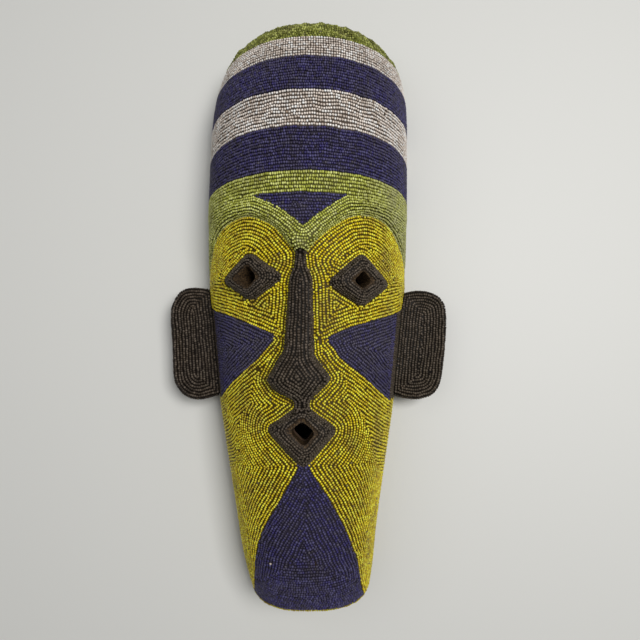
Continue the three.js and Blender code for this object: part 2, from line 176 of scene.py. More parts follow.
def distance_to_path(x, y, path, is_closed=True):
    """Plan distance from points to a path of straight pieces."""
    x, y = np.asarray(x, float), np.asarray(y, float)
    starts = path if is_closed else path[:-1]
    ends = np.roll(path, -1, axis=0) if is_closed else path[1:]
    best = np.full(x.shape, np.inf)
    for (ax, ay), (bx, by) in zip(starts, ends):
        dx, dy = bx - ax, by - ay
        length = dx * dx + dy * dy
        if length == 0:
            continue
        t = np.clip(((x - ax) * dx + (y - ay) * dy) / length, 0, 1)
        best = np.minimum(best, np.hypot(x - ax - t * dx, y - ay - t * dy))
    return best


def unit(vectors):
    """The directions of vectors, at length one."""
    return vectors / np.maximum(np.linalg.norm(vectors, axis=-1, keepdims=True), 1e-9)


def inset_loop(loop, amount):
    """Moves each point of a counter-clockwise loop inwards, by one amount or by its own."""
    along = unit(np.roll(loop, -1, axis=0) - np.roll(loop, 1, axis=0))
    inwards = np.stack([-along[:, 1], along[:, 0]], 1)
    return loop + inwards * np.reshape(amount, (-1, 1))


# Long sections of the carving, by station along Y

face_crest = smooth_curve([
    (-253, 60), (-237, 72), (-214, 82), (-170, 90), (-115, 95), (-60, 97), (-10, 100), (44, 103), (90, 104)])
face_half_width = smooth_curve([
    (-253, 51.5), (-230, 56), (-185, 62.8), (-117, 74.2), (-89, 78.5), (-15, 86.5), (16, 90), (90, 90)])
forehead_half_width = smooth_curve([(20, 90.5), (80, 92), (253, 92)])
nose_crest = smooth_curve([(-92, 99), (-80, 105), (-66, 111.5), (-40, 111), (0, 109.5), (34, 109.5)])
nose_flank = smooth_curve([(-92, 1.5), (-82, 2), (-74, 4.3), (-55, 4.3), (-30, 3.2), (10, 2), (35, 1.6)])
middle_line = smooth_curve([
    (-253, 2.4), (-200, -0.4), (-60, -1.4), (60, -1), (130, 0), (160, 0.8), (190, 2.2), (215, 3.4), (253, 4)])
squareness = smooth_curve([(-253, 2.7), (-180, 2.3), (-60, FACE_SQUARENESS), (253, FACE_SQUARENESS)])

# Outlines seen from the front, as runs

FAR, FAR_UP, FAR_DOWN = 120.0, 300.0, -270.0
BROW_LEFT = [(-90.5, 9), (-88.5, 20), (-85, 31), (-80, 44), (-72.5, 53), (-61, 59), (-45, 60.5), (-28, 53),
             (-17, 42.5), (-8, 31)]
BROW_RIGHT = [(0, 31), (12, 43.5), (22, 51.5), (33, 58.5), (47, 62), (60, 60), (69, 54.5), (77, 45), (84, 34),
              (88, 21), (90.5, 9)]
TRIANGLE_TOP = [(-41, 74), (30, 73)]
TRIANGLE_RIGHT = [(30, 73), (11, 59), (-2, 48)]
TRIANGLE_LEFT = [(-2, 48), (-20.5, 63), (-41, 74)]
CHEEK_TOP_LEFT = [(-92, 1), (-84, -7.5), (-76.5, -11.5), (-63.5, -16.5), (-39, -26.5), (-24.5, -33)]
CHEEK_TOP_RIGHT = [(16.5, -36), (20.5, -33.2), (37, -26), (49, -22.5), (72, -14), (82, -8), (92, 1)]
CHEEK_FOOT_LEFT = [(-24.5, -37.2), (-39, -53), (-54.5, -66), (-67, -78), (-74, -86)]
CHEEK_FOOT_RIGHT = [(68, -87), (54, -75), (41, -63), (26, -51.5), (20.5, -43.5), (16.5, -38.6)]
TIP_LEFT = [(-24.5, -33), (-15, -36.5)]
TIP_RIGHT = [(8, -37.3), (11, -37.3), (16.5, -36)]
CHIN_LEFT = [(-6.5, -128), (-6.5, -135), (-12, -145.5), (-21, -162), (-29.8, -178), (-36.4, -194.5),
             (-39.8, -212), (-41.8, -230), (-45.3, -256)]
CHIN_RIGHT = [(47.5, -256), (43, -236), (39.3, -213), (34.5, -198), (28.2, -181), (19.8, -163),
              (10.5, -147.5), (3, -135), (3, -128)]
NOSE_LEFT = [(-6.8, 35), (-6.8, 31), (-8, 18), (-11.4, 9.5), (-12.8, -7), (-14.4, -30), (-16.1, -45),
             (-20.8, -53), (-24.7, -60.5), (-29.1, -68)]
NOSE_FOOT_LEFT = [(-29.1, -68), (-22, -76), (-8.5, -83), (-8.5, -92)]
NOSE_FOOT_RIGHT = [(2.5, -92), (2, -83), (10, -75.5), (17.9, -67)]
NOSE_RIGHT = [(17.9, -67), (13.2, -60.5), (7.8, -53), (5.3, -45), (4.2, -7), (3.2, 9), (-0.4, 18), (-1.4, 31),
              (-1.4, 35)]
EAR_LEFT_EDGE = [(-91, 8.8), (-106, 10.2), (-115.8, 6.8), (-122.1, -3.5), (-123.2, -14), (-121.2, -39),
                 (-119.5, -66), (-116.3, -76.5), (-108.5, -84.2), (-97.5, -86.6), (-87, -84.2), (-76, -81.5)]
EAR_RIGHT_EDGE = [(75, -81.5), (86, -85.2), (98.5, -86.2), (110, -82.6), (116, -75), (119, -62),
                  (122.2, -35.5), (123.2, -14), (121.4, -2.5), (114, 4.6), (101.5, 7.4), (88, 5.4)]

brow_loop = closed((-FAR, 9), BROW_LEFT, BROW_RIGHT, (FAR, 9), (FAR, FAR_UP), (-FAR, FAR_UP))
triangle_loop = closed(TRIANGLE_TOP, TRIANGLE_RIGHT, TRIANGLE_LEFT)
nose_loop = closed(NOSE_LEFT, NOSE_FOOT_LEFT, NOSE_FOOT_RIGHT, NOSE_RIGHT)
eye_left_loop = closed((-5, 90), (-FAR, 90), (-FAR, 2), CHEEK_TOP_LEFT, TIP_LEFT, (-5, -36.5))
eye_right_loop = closed((0, -37.3), (11, -37.3), CHEEK_TOP_RIGHT, (FAR, 2), (FAR, 90), (0, 90))
cheek_left_loop = closed((-FAR, 2), CHEEK_TOP_LEFT, CHEEK_FOOT_LEFT, (-FAR, -86))
cheek_right_loop = closed(CHEEK_TOP_RIGHT, (FAR, 2), (FAR, -87), CHEEK_FOOT_RIGHT)
chin_loop = closed(CHIN_LEFT, CHIN_RIGHT)
lower_left_loop = closed((-2, -36), (-15, -36.5), (-24.5, -33), CHEEK_FOOT_LEFT, (-FAR, -86),
                         (-FAR, FAR_DOWN), (-2, FAR_DOWN))
lower_right_loop = closed((-2, FAR_DOWN), (FAR, FAR_DOWN), (FAR, -87), CHEEK_FOOT_RIGHT, (16.5, -36),
                          (11, -37.3), (-2, -37.3))
ear_left_loop = closed((-60, 7), EAR_LEFT_EDGE, (-60, -80))
ear_right_loop = closed((60, -79.5), EAR_RIGHT_EDGE, (60, 5))
nose_top_loop = inset_loop(nose_loop, nose_flank(nose_loop[:, 1]))

CORNER_SHARE = 0.16
HOLE_CORNER_SHARE = 0.3


class Frame:
    """A raised diamond around a hole. Its hole leans by an angle and its rim is bare of beads."""

    def __init__(self, foot, top, hole, mouth, bare, lean, rise):
        self.foot, self.top, self.bare = (rounded_diamond(loop, CORNER_SHARE) for loop in (foot, top, bare))
        self.hole, self.mouth = (rounded_diamond(loop, HOLE_CORNER_SHARE) for loop in (hole, mouth))
        self.lean, self.rise = math.radians(lean), rise


eye_left = Frame(
    foot=[(-44.6, 31), (-17, 10.5), (-42.5, -6.5), (-68.5, 11.8)],
    top=[(-44.5, 26.5), (-25, 10.5), (-43.5, -3), (-63, 10)],
    hole=[(-46.3, 18.5), (-36.5, 10.7), (-45.7, 3.5), (-53.5, 10.7)],
    mouth=[(-45.2, 20.6), (-35.8, 10.5), (-45.7, 2.2), (-57.6, 10.6)],
    bare=[(-45.2, 21.6), (-34.6, 10.5), (-45.7, 1.2), (-59.0, 10.6)],
    lean=-26, rise=FRAME_RISE,
)
eye_right = Frame(
    foot=[(43, 31), (67, 8.5), (43, -11), (15.5, 6)],
    top=[(43.5, 26), (61.5, 8.5), (43, -7), (24.5, 6.5)],
    hole=[(44.4, 15.5), (52, 8.3), (43.6, 2.5), (35.5, 7.7)],
    mouth=[(44.4, 16.6), (53.6, 8.3), (44.0, 1.6), (34.6, 7.6)],
    bare=[(44.4, 17.6), (54.8, 8.3), (44.0, 0.6), (33.4, 7.6)],
    lean=26, rise=FRAME_RISE,
)
mouth = Frame(
    foot=[(-3, -86), (24, -105.7), (-2, -135), (-30.5, -105.5)],
    top=[(-3, -91.5), (17.5, -105.7), (-2, -127.5), (-24, -105.5)],
    hole=[(-2.7, -98.5), (6.2, -106.5), (-1.2, -115.5), (-10.8, -105.8)],
    mouth=[(-2.5, -97.8), (7.6, -106.8), (-1.2, -117.4), (-12.2, -105.6)],
    bare=[(-2.7, -94.6), (10.8, -106.6), (-0.5, -119.4), (-15.8, -105.0)],
    lean=0, rise=MOUTH_RISE,
)
FRAMES = (eye_left, eye_right, mouth)

# Surfaces of the bare wood. A section gives the height of the crest and the half width at a station.


def rounded_off(share, powers):
    """What is left of a size at a share of the way to its rounded end."""
    return (1 - share ** powers[0]) ** (1 / powers[1])


def dome_section(y, raised=0.0):
    """The forehead and the crown."""
    share = np.clip((y - CROWN_STARTS) / (HALF_LENGTH + raised - CROWN_STARTS), 0, 1)
    return (
        (FOREHEAD_HEIGHT + raised) * rounded_off(share, DOME_PROFILE),
        (forehead_half_width(y) + raised) * rounded_off(share, DOME_PLAN),
    )


def face_section(y, raised=0.0):
    """The face below the brow."""
    return face_crest(y) + raised, face_half_width(y) + raised


def nose_section(y, raised=0.0):
    """The top of the nose, which is almost flat from side to side."""
    return nose_crest(y) + raised, NOSE_TOP_HALF + raised + 0 * y


def height_on(section, x, y, raised=0.0):
    """Height over a plan point on the surface of a section."""
    crest, half = section(y, raised)
    across = np.clip(np.abs(x - middle_line(y)) / np.maximum(half, 1e-6), 0, 1)
    return crest * np.sqrt(1 - across ** squareness(y))


def across_share(angle, y):
    """Share of the half width at an angle across, from -1 to 1."""
    return np.sign(angle) * np.abs(np.sin(angle)) ** (2 / squareness(y))


def ramp(x, y, foot, top):
    """0 outside the foot loop, 1 inside the top loop and sloping between them."""
    from_foot = distance_to_path(x, y, foot)
    from_top = distance_to_path(x, y, top)
    on_slope = from_foot / np.maximum(from_foot + from_top, 1e-6)
    return np.where(inside(x, y, top), 1.0, np.where(inside(x, y, foot), on_slope, 0.0))


BROWS_MEET = (-4.0, 31.0)
BROW_ENDS = 9.0
FLANK_WIDENS_OVER = 22.0
NARROWEST_FLANK = 0.3


def brow_ramp(x, y):
    """0 on the face, 1 on the dome of the forehead, sloping over the brow."""
    from_nose = np.hypot(x - BROWS_MEET[0], y - BROWS_MEET[1]) / FLANK_WIDENS_OVER
    from_temple = (y - BROW_ENDS) / FLANK_WIDENS_OVER
    share = np.clip(np.minimum(from_nose, from_temple), NARROWEST_FLANK, 1)
    rising = np.clip(distance_to_path(x, y, brow_loop) / (BROW_FLANK * share), 0, 1)
    return np.where(inside(x, y, brow_loop), rising, 0.0)


def add_relief(x, y, z):
    """Heights of the face with the nose and the three frames standing on it."""
    for shape in FRAMES:
        plateau = height_on(face_section, x, y, shape.rise)
        z = z + (plateau - z) * ramp(x, y, shape.foot, shape.top)
    bridge = height_on(nose_section, x, y)
    return z + np.maximum(bridge - z, 0) * ramp(x, y, nose_loop, nose_top_loop)


def wood_height(x, y):
    """Height of the bare wood over a plan point."""
    x, y = np.asarray(x, float), np.asarray(y, float)
    face = height_on(face_section, x, y)
    dome = height_on(dome_section, x, y)
    return add_relief(x, y, face + (dome - face) * brow_ramp(x, y))


CREST_SAMPLES = 4000


def crown_rows(step):
    """Stations along Y that are evenly spaced on the crest of the crown."""
    share = 1 - np.linspace(1, 0, CREST_SAMPLES) ** 3
    y = CROWN_STARTS + share * (HALF_LENGTH - CROWN_STARTS)
    crest, _ = dome_section(y)
    walked = np.concatenate([[0], np.cumsum(np.hypot(np.diff(y), np.diff(crest)))])
    return np.interp(np.arange(step, walked[-1] - 0.5, step), walked, y)


OVER_THE_BROWS = CROWN_STARTS + 6


def grid_of(y, angle):
    """Points and outward normals of the bare wood at stations along Y and angles across."""
    y, angle = np.meshgrid(y, angle, indexing="ij")
    across = across_share(angle, y)
    (face_top, face_half), (dome_top, dome_half) = face_section(y), dome_section(y)
    face_x = middle_line(y) + face_half * across
    forehead = np.where(y > OVER_THE_BROWS, 1.0, brow_ramp(face_x, y))
    half = face_half + (dome_half - face_half) * forehead
    crest = face_top + (dome_top - face_top) * forehead
    x = middle_line(y) + half * across
    z = crest * np.cos(angle)
    front = y < CROWN_STARTS
    z[front] = add_relief(x[front], y[front], z[front])
    points = np.stack([x, y, z], -1)
    normals = np.cross(np.gradient(points, axis=1), np.gradient(points, axis=0))
    return points, unit(normals)


GRID_COLUMNS = 321
GRID_STEP = 1.0
grid_points, grid_normals = grid_of(
    np.concatenate([np.arange(-HALF_LENGTH, CROWN_STARTS, GRID_STEP), [CROWN_STARTS], crown_rows(GRID_STEP)]),
    np.linspace(-math.pi / 2, math.pi / 2, GRID_COLUMNS),
)

# Unevenness of hand work

WAVE_COUNT = 14
WAVE_SPREAD = 1.6
WAVES = [(rng.uniform(0.10, 0.42), *rng.uniform(0, 2 * math.pi, 2)) for _ in range(WAVE_COUNT)]
CROWN_LUMP = 1.2
LUMPS_GROW_OVER = 6.0


def waver(x, y):
    """A smooth unevenness, about -1 to 1, that makes hand-laid rows wander."""
    total = 0
    for frequency, heading, phase in WAVES:
        total = total + np.sin(frequency * (x * math.cos(heading) + y * math.sin(heading)) + phase)
    return total / math.sqrt(len(WAVES)) / WAVE_SPREAD


def lumps(points):
    """Extra height of the lumpy crown over its smooth form."""
    x, y, z = points[..., 0], points[..., 1], points[..., 2]
    amount = np.clip((y - CAP_EDGE) / LUMPS_GROW_OVER, 0, 1)
    return amount * CROWN_LUMP * (waver(1.3 * x, 1.3 * z) + 0.4 * waver(3.1 * z, 2.9 * x))


# Lines on the wood that rows of beads keep their distance from

LINE_SPACING, PLAN_SPACING = 1.0, 0.25
SECTION_SAMPLES, WALL_SAMPLES = 600, 60


def walked_along(chain):
    """Distance from the first point of a chain to each of its points."""
    return np.concatenate([[0], np.cumsum(np.linalg.norm(np.diff(chain, axis=0), axis=1))])


def chain_at(where, walked, chain):
    """Every channel of a chain at distances walked along it."""
    return np.column_stack([np.interp(where, walked, channel) for channel in chain.T])


def resampled(solid):
    """A 3-D line as evenly spaced points."""
    walked = walked_along(solid)
    return chain_at(np.linspace(0, walked[-1], max(2, int(walked[-1] / LINE_SPACING))), walked, solid)


def on_wood(path):
    """A plan path laid on the wood as evenly spaced 3-D points."""
    pieces = []
    for a, b in zip(path[:-1], path[1:]):
        count = max(2, int(np.hypot(*(b - a)) / PLAN_SPACING))
        t = np.linspace(0, 1, count, endpoint=False)[:, None]
        pieces.append(a + (b - a) * t)
    plan = np.vstack(pieces + [path[-1:]])
    on_dome = plan[:, 1] > CROWN_STARTS
    half = np.where(on_dome, dome_section(plan[:, 1])[1], face_section(plan[:, 1])[1])
    centre = middle_line(plan[:, 1])
    plan[:, 0] = np.clip(plan[:, 0], centre - half, centre + half)
    return resampled(np.column_stack([plan, wood_height(plan[:, 0], plan[:, 1])]))


def across_at(y):
    """The line across the mask at one station, from rim to rim."""
    angle = np.linspace(-math.pi / 2, math.pi / 2, SECTION_SAMPLES)
    section = dome_section if y > CROWN_STARTS else face_section
    crest, half = section(np.array(float(y)))
    x = middle_line(y) + half * across_share(angle, y)
    return resampled(np.column_stack([x, 0 * angle + y, crest * np.cos(angle)]))


def ring(loop):
    """Points along a whole loop laid on the wood."""
    return on_wood(np.vstack([loop, loop[:1]]))


def edges(*runs):
    """Points along runs laid on the wood."""
    return np.vstack([on_wood(run_points(run)) for run in runs])


def wall_x(z, y, side, raised=0.0):
    """How far out the side wall stands at a height."""
    crest, half = face_section(y, raised)
    share = np.sqrt(np.clip(1 - (z / crest) ** 2, 0, 1)) ** (2 / squareness(y))
    return middle_line(y) + side * half * share


def wall_line(stations, side):
    """A line on the side wall through [y, z] stations."""
    steps, at = np.linspace(0, 1, WALL_SAMPLES), np.linspace(0, 1, len(stations))
    y, z = chain_at(steps, at, np.array(stations, float)).T
    return resampled(np.column_stack([wall_x(z, y, side), y, z]))


def distance_to_points(where, samples, chunk=20000):
    """Distance from each point to the nearest sample, a chunk of points at a time."""
    where = np.asarray(where, np.float32).reshape(-1, 3)
    samples = np.asarray(samples, np.float32)
    result = np.empty(len(where), np.float32)
    square = (samples**2).sum(1)
    for start in range(0, len(where), chunk):
        part = where[start : start + chunk]
        gap = (part**2).sum(1)[:, None] + square[None] - 2 * part @ samples.T
        result[start : start + chunk] = np.sqrt(np.maximum(gap.min(1), 0))
    return result


# Rows of beads follow lines of equal distance from the edges of their field


def level_lines(field, level, channels):
    """Chains of interpolated channel values where the grid field crosses a level."""
    rows, columns = field.shape
    above = field > level
    flat = channels.reshape(-1, channels.shape[-1])
    values = field.reshape(-1)
    side = above[:, :-1] != above[:, 1:]
    upright = above[:-1] != above[1:]
    top, bottom = side[:-1], side[1:]
    left, right = upright[:, :-1], upright[:, 1:]
    size = rows * columns
    links = {}
    for i, j in np.argwhere(top | bottom | left | right):
        corner = i * columns + j
        sides = ((top, corner), (left, size + corner), (bottom, corner + columns), (right, size + corner + 1))
        crossed = [edge_id for is_crossed, edge_id in sides if is_crossed[i, j]]
        for a, b in zip(crossed[0::2], crossed[1::2]):
            links.setdefault(a, []).append(b)
            links.setdefault(b, []).append(a)
    if not links:
        return []
    ids = np.array(sorted(links))
    start = np.where(ids < size, ids, ids - size)
    end = np.where(ids < size, start + 1, start + columns)
    t = (level - values[start]) / (values[end] - values[start])
    where = flat[start] + (flat[end] - flat[start]) * t[:, None]
    place = {edge_id: k for k, edge_id in enumerate(ids)}
    chains, seen = [], set()
    for first in sorted(links, key=lambda e: (len(links[e]) != 1, e)):
        if first in seen:
            continue
        chain, onward = [], [first]
        while onward:
            chain.append(onward[0])
            seen.add(onward[0])
            onward = [e for e in links[onward[0]] if e not in seen]
        if len(chain) > 2 and first in links[chain[-1]]:
            chain.append(first)
        if len(chain) > 2:
            chains.append(where[[place[e] for e in chain]])
    return chains


THREAD_SWAY, QUICK_SHARE = 0.17, 0.7
SLOW_SWAY, QUICK_SWAY = (24, 44), (8, 14)
LOOSE_LENGTHS, LINED_UP_LENGTHS = (0.86, 1.14), (0.9, 1.04)
LINED_UP_STRAY = 0.05


def sway(walked):
    """How far a thread strays sideways along its length."""
    slow, quick = rng.uniform(*SLOW_SWAY), rng.uniform(*QUICK_SWAY)
    first, second = rng.uniform(0, 2 * math.pi, 2)
    return THREAD_SWAY * (np.sin(2 * math.pi * walked / slow + first)
                          + QUICK_SHARE * np.sin(2 * math.pi * walked / quick + second))


def string_beads(chain, step, lined_up=False):
    """Beads along a chain: place on the wood, normal, direction of the thread and length.

    Channels of the chain beyond place and normal follow at the end.
    """
    walked = walked_along(chain[:, :3])
    total = walked[-1]
    count = int(total / step)
    if count < 2:
        return np.empty((0, 4 + chain.shape[1]))
    if lined_up:
        order = slice(None, None, 1 if chain[-1, 0] > chain[0, 0] else -1)
        first = np.interp(0.0, chain[order, 0], walked[order]) % step
        middle = first + step * np.arange(int((total - first) / step))
        middle = middle + rng.normal(0, LINED_UP_STRAY * step, len(middle))
        lengths = step * rng.uniform(*LINED_UP_LENGTHS, len(middle))
    else:
        lengths = rng.uniform(*LOOSE_LENGTHS, count)
        lengths *= total / lengths.sum()
        middle = np.cumsum(lengths) - lengths / 2
    at = chain_at(middle, walked, chain)
    ahead, behind = (chain_at(middle + half, walked, chain[:, :3]) for half in (step / 2, -step / 2))
    thread = ahead - behind
    at[:, :3] += unit(np.cross(at[:, 3:6], thread)) * sway(middle)[:, None]
    return np.column_stack([at[:, :6], thread, lengths, at[:, 6:]])


WANDER = 0.28
EMPTY_SHARE = 0.5
FILLER_LENGTH = 0.95


def grid_distance(points, samples):
    """Distances from a grid of points to the nearest sample."""
    return distance_to_points(points, samples).reshape(points.shape[:2]).astype(float)


class Patch:
    """A field of beads on a grid of points and normals."""

    def __init__(self, points, normals, pitch, step=STEP):
        self.points, self.normals = points, normals
        self.channels = np.concatenate([points, normals], -1)
        self.x, self.y = points[..., 0], points[..., 1]
        self.pitch, self.step = pitch, step
        self.beads = np.empty((0, 10))
        self.tests = []

    def distance(self, samples):
        return grid_distance(self.points, samples)

    def distance_over(self, samples):
        """Distance where the middles of the beads lie, so that rows stay even over a sharp bend."""
        flat = self.normals.reshape(-1, 3)
        nearest = [((self.points - sample) ** 2).sum(-1).argmin() for sample in samples]
        return grid_distance(self.points + self.normals * BEAD_CENTRE, samples + flat[nearest] * BEAD_CENTRE)

    def require(self, *tests):
        """Every bead has to pass each test, which takes an array of points."""
        self.tests += tests

    def allowed(self, places):
        mask = np.ones(len(places), bool)
        for test in self.tests:
            mask &= test(places)
        return mask

    def rows(self, field, first=0.5, last=400, wander=WANDER, lined_up=False, also=None, within=None):
        """Strings beads on the level lines of a field, one line for each pitch.

        Beads are kept where the grid of values in within is above nought.
        """
        field = field + wander * waver(self.x, self.y)
        channels = self.channels
        if within is not None:
            channels = np.concatenate([channels, within[..., None]], -1)
        highest = field.max()
        strung, row = [], first
        while row * self.pitch < highest and row < last:
            for chain in level_lines(field, row * self.pitch, channels):
                strung.append(string_beads(chain, self.step, lined_up))
            row += 1
        if not strung:
            return
        beads = np.vstack(strung)
        if within is not None:
            beads = beads[beads[:, 10] > 0, :10]
        mask = self.allowed(beads[:, :3])
        if also is not None:
            mask &= also(beads[:, :3])
        self.beads = np.vstack([self.beads, beads[mask]])

    def rows_between(self, from_start, from_end, turn, wander, limit=None):
        """Rows along a start edge that turn to run along an end edge, all counted in rows.

        Where the way across is a row longer, one more row begins.
        """
        total = from_start + from_end
        for count in range(int(total.min()), int(total.max()) + 2):
            bent = from_start + turn * (count - from_end - from_start)
            there = 0.5 - np.abs(total - count)
            if limit is not None:
                there = np.minimum(there, limit)
            self.rows(bent * self.pitch, wander=wander, within=there)

    def fill(self, roomy=0.72, within=None):
        """Single beads close the gaps that rows leave where they meet."""
        places, normals = self.points.reshape(-1, 3), self.normals.reshape(-1, 3)
        mask = self.allowed(places)
        if within is not None:
            mask &= within.reshape(-1)
        places, normals = places[mask], normals[mask]
        if len(places) == 0:
            return
        room = distance_to_points(places, self.beads[:, :3])
        mask = room > EMPTY_SHARE * self.pitch
        places, normals, room = places[mask], normals[mask], room[mask]
        added = []
        while len(room) and room.max() > roomy * self.pitch:
            k = int(room.argmax())
            nearest = int(((self.beads[:, :3] - places[k]) ** 2).sum(1).argmin())
            thread, length = self.beads[nearest, 6:9], self.step * FILLER_LENGTH
            added.append(np.concatenate([places[k], normals[k], thread, [length]]))
            room = np.minimum(room, np.linalg.norm(places - places[k], axis=1))
        if added:
            self.beads = np.vstack([self.beads, added])


def clear_of(samples, margin):
    return lambda places: distance_to_points(places, samples) > margin


def inside_of(loop):
    return lambda places: inside(places[:, 0], places[:, 1], loop)


def outside_of(loop):
    return lambda places: ~inside(places[:, 0], places[:, 1], loop)


def above_rim(places):
    return places[:, 2] > RIM_CLEARANCE


LOOP_MARGIN = 4.0


def wood_patch(low, high, pitch=PITCH, step=STEP, left=-FAR, right=FAR):
    """A patch on the front between two stations, from rim to rim or between two sides."""
    rows = np.nonzero((grid_points[:, 0, 1] >= low) & (grid_points[:, 0, 1] <= high))[0]
    x = grid_points[rows[0] : rows[-1] + 1, :, 0]
    columns = np.nonzero(((x >= left) & (x <= right)).any(0))[0]
    window = slice(rows[0], rows[-1] + 1), slice(columns[0], columns[-1] + 1)
    return Patch(grid_points[window], grid_normals[window], pitch, step)


def loop_patch(loop, pitch):
    """A patch on the front round a loop, for beads inside it."""
    (left, low), (right, high) = loop.min(0) - LOOP_MARGIN, loop.max(0) + LOOP_MARGIN
    patch = wood_patch(low, high, pitch, left=left, right=right)
    patch.require(inside_of(loop))
    return patch


def flat_patch(points, normal, pitch):
    """A patch on a grid of points that all face one way."""
    return Patch(points, np.broadcast_to(normal, points.shape), pitch)


# Objects and their values


def add_object(name, data):
    obj = bpy.data.objects.new(name, data)
    bpy.context.scene.collection.objects.link(obj)
    return obj


def add_solid(name, points, faces, material):
    mesh = bpy.data.meshes.new(name)
    mesh.from_pydata(points.reshape(-1, 3) * MM, [], faces)
    mesh.materials.append(material)
    return add_object(name, mesh)


def add_values(mesh, name, values, domain="POINT"):
    attribute = mesh.attributes.new(name, "FLOAT", domain)
    attribute.data.foreach_set("value", np.asarray(values, np.float32).ravel())


def read_vectors(items, name):
    """A vector property of all vertices or faces, as one row for each axis."""
    values = np.empty(len(items) * 3, np.float32)
    items.foreach_get(name, values)
    return values.reshape(-1, 3).T.astype(float)


# Materials


def new_material(name):
    material = bpy.data.materials.new(name)
    material.use_nodes = True
    tree = material.node_tree
    return material, tree, tree.nodes["Principled BSDF"]


def feed(tree, socket, value):
    """Sets a socket to a colour or a number, or links another node's output to it."""
    if isinstance(value, tuple):
        socket.default_value = (*value, 1)
    elif isinstance(value, float):
        socket.default_value = value
    else:
        tree.links.new(value, socket)


def grey(value):
    return (value, value, value)


def add_ramp(tree, source, stops):
    node = tree.nodes.new("ShaderNodeValToRGB")
    while len(node.color_ramp.elements) < len(stops):
        node.color_ramp.elements.new(0.5)
    for element, (place, colour) in zip(node.color_ramp.elements, stops):
        element.position = place
        element.color = (*colour, 1)
    tree.links.new(source, node.inputs["Fac"])
    return node.outputs["Color"]


def add_attribute(tree, name):
    node = tree.nodes.new("ShaderNodeAttribute")
    node.attribute_name = name
    return node.outputs["Fac"]


def add_noise(tree, scale, detail, stretch=None):
    vector = tree.nodes.new("ShaderNodeTexCoord").outputs["Object"]
    if stretch:
        mapping = tree.nodes.new("ShaderNodeMapping")
        mapping.inputs["Scale"].default_value = stretch
        tree.links.new(vector, mapping.inputs["Vector"])
        vector = mapping.outputs["Vector"]
    noise = tree.nodes.new("ShaderNodeTexNoise")
    noise.inputs["Scale"].default_value = scale
    noise.inputs["Detail"].default_value = detail
    tree.links.new(vector, noise.inputs["Vector"])
    return noise.outputs["Fac"]


def add_mix(tree, share, first, second, blend="MIX"):
    node = tree.nodes.new("ShaderNodeMix")
    node.data_type = "RGBA"
    node.blend_type = blend
    colours = [socket for socket in node.inputs if socket.type == "RGBA"]
    for socket, value in zip((node.inputs["Factor"], *colours), (share, first, second)):
        feed(tree, socket, value)
    return next(socket for socket in node.outputs if socket.type == "RGBA")


def add_scale(tree, source, low, high):
    """Maps a value from 0..1 to low..high."""
    node = tree.nodes.new("ShaderNodeMapRange")
    node.inputs["To Min"].default_value = low
    node.inputs["To Max"].default_value = high
    tree.links.new(source, node.inputs["Value"])
    return node.outputs["Result"]


# How far a bead darkens to the gap colour and how rough it gets there: glue on its lower sides, and painted
# shade between the beads.
GLUE_AND_SHADE_STRENGTH, GAP_ROUGHNESS = 0.95, 0.75
# The default stain colour is also painted light: the right ear's beads are made paler with it.
STAIN_AND_SHADING_COLOUR, SOOT = (0.10, 0.08, 0.055), (0.10, 0.068, 0.035)


def bead_material(name, gap, shades, roughness, darkening=0.5, specular=0.25, stain_and_shading_colour=STAIN_AND_SHADING_COLOUR, soot=SOOT,
                  places=(0.0, 0.5, 1.0)):
    """Glossy glass that differs from bead to bead and darkens to the gap colour on its lower sides and ends:
    glue there, and painted shade between the beads.
    """
    material, tree, shader = new_material(name)
    glass = add_ramp(tree, add_attribute(tree, "tint"), list(zip(places, shades)))
    patches = add_ramp(tree, add_noise(tree, scale=55, detail=3), [(0.42, grey(0)), (0.72, grey(darkening))])
    marked_glass = add_mix(tree, patches, glass, soot)
    # Stains, and where a field asks for it, painted shade by the brow's arches and painted light on the right
    # ear.
    marked_glass = add_mix(tree, add_attribute(tree, "stain_and_shading"), marked_glass, stain_and_shading_colour)
    # Painted shade between the beads, with glue on their lower sides: each bead darkens to the gap colour
    # there.
    glue_and_shade = add_attribute(tree, "glue_and_shade")
    colour = add_mix(tree, add_scale(tree, glue_and_shade, 0.0, GLUE_AND_SHADE_STRENGTH), marked_glass, gap)
    feed(tree, shader.inputs["Base Color"], colour)
    feed(tree, shader.inputs["Roughness"], add_scale(tree, glue_and_shade, roughness, GAP_ROUGHNESS))
    feed(tree, shader.inputs["Specular IOR Level"], specular)
    return material


# The green's greyish stain colour is also painted shade on the rows next to the brow's arches.
green_glass = bead_material(
    "green_glass", (0.07, 0.068, 0.008), [(0.34, 0.36, 0.036), (0.54, 0.57, 0.10), (0.82, 0.85, 0.29)], 0.2,
    stain_and_shading_colour=(0.32, 0.31, 0.19))
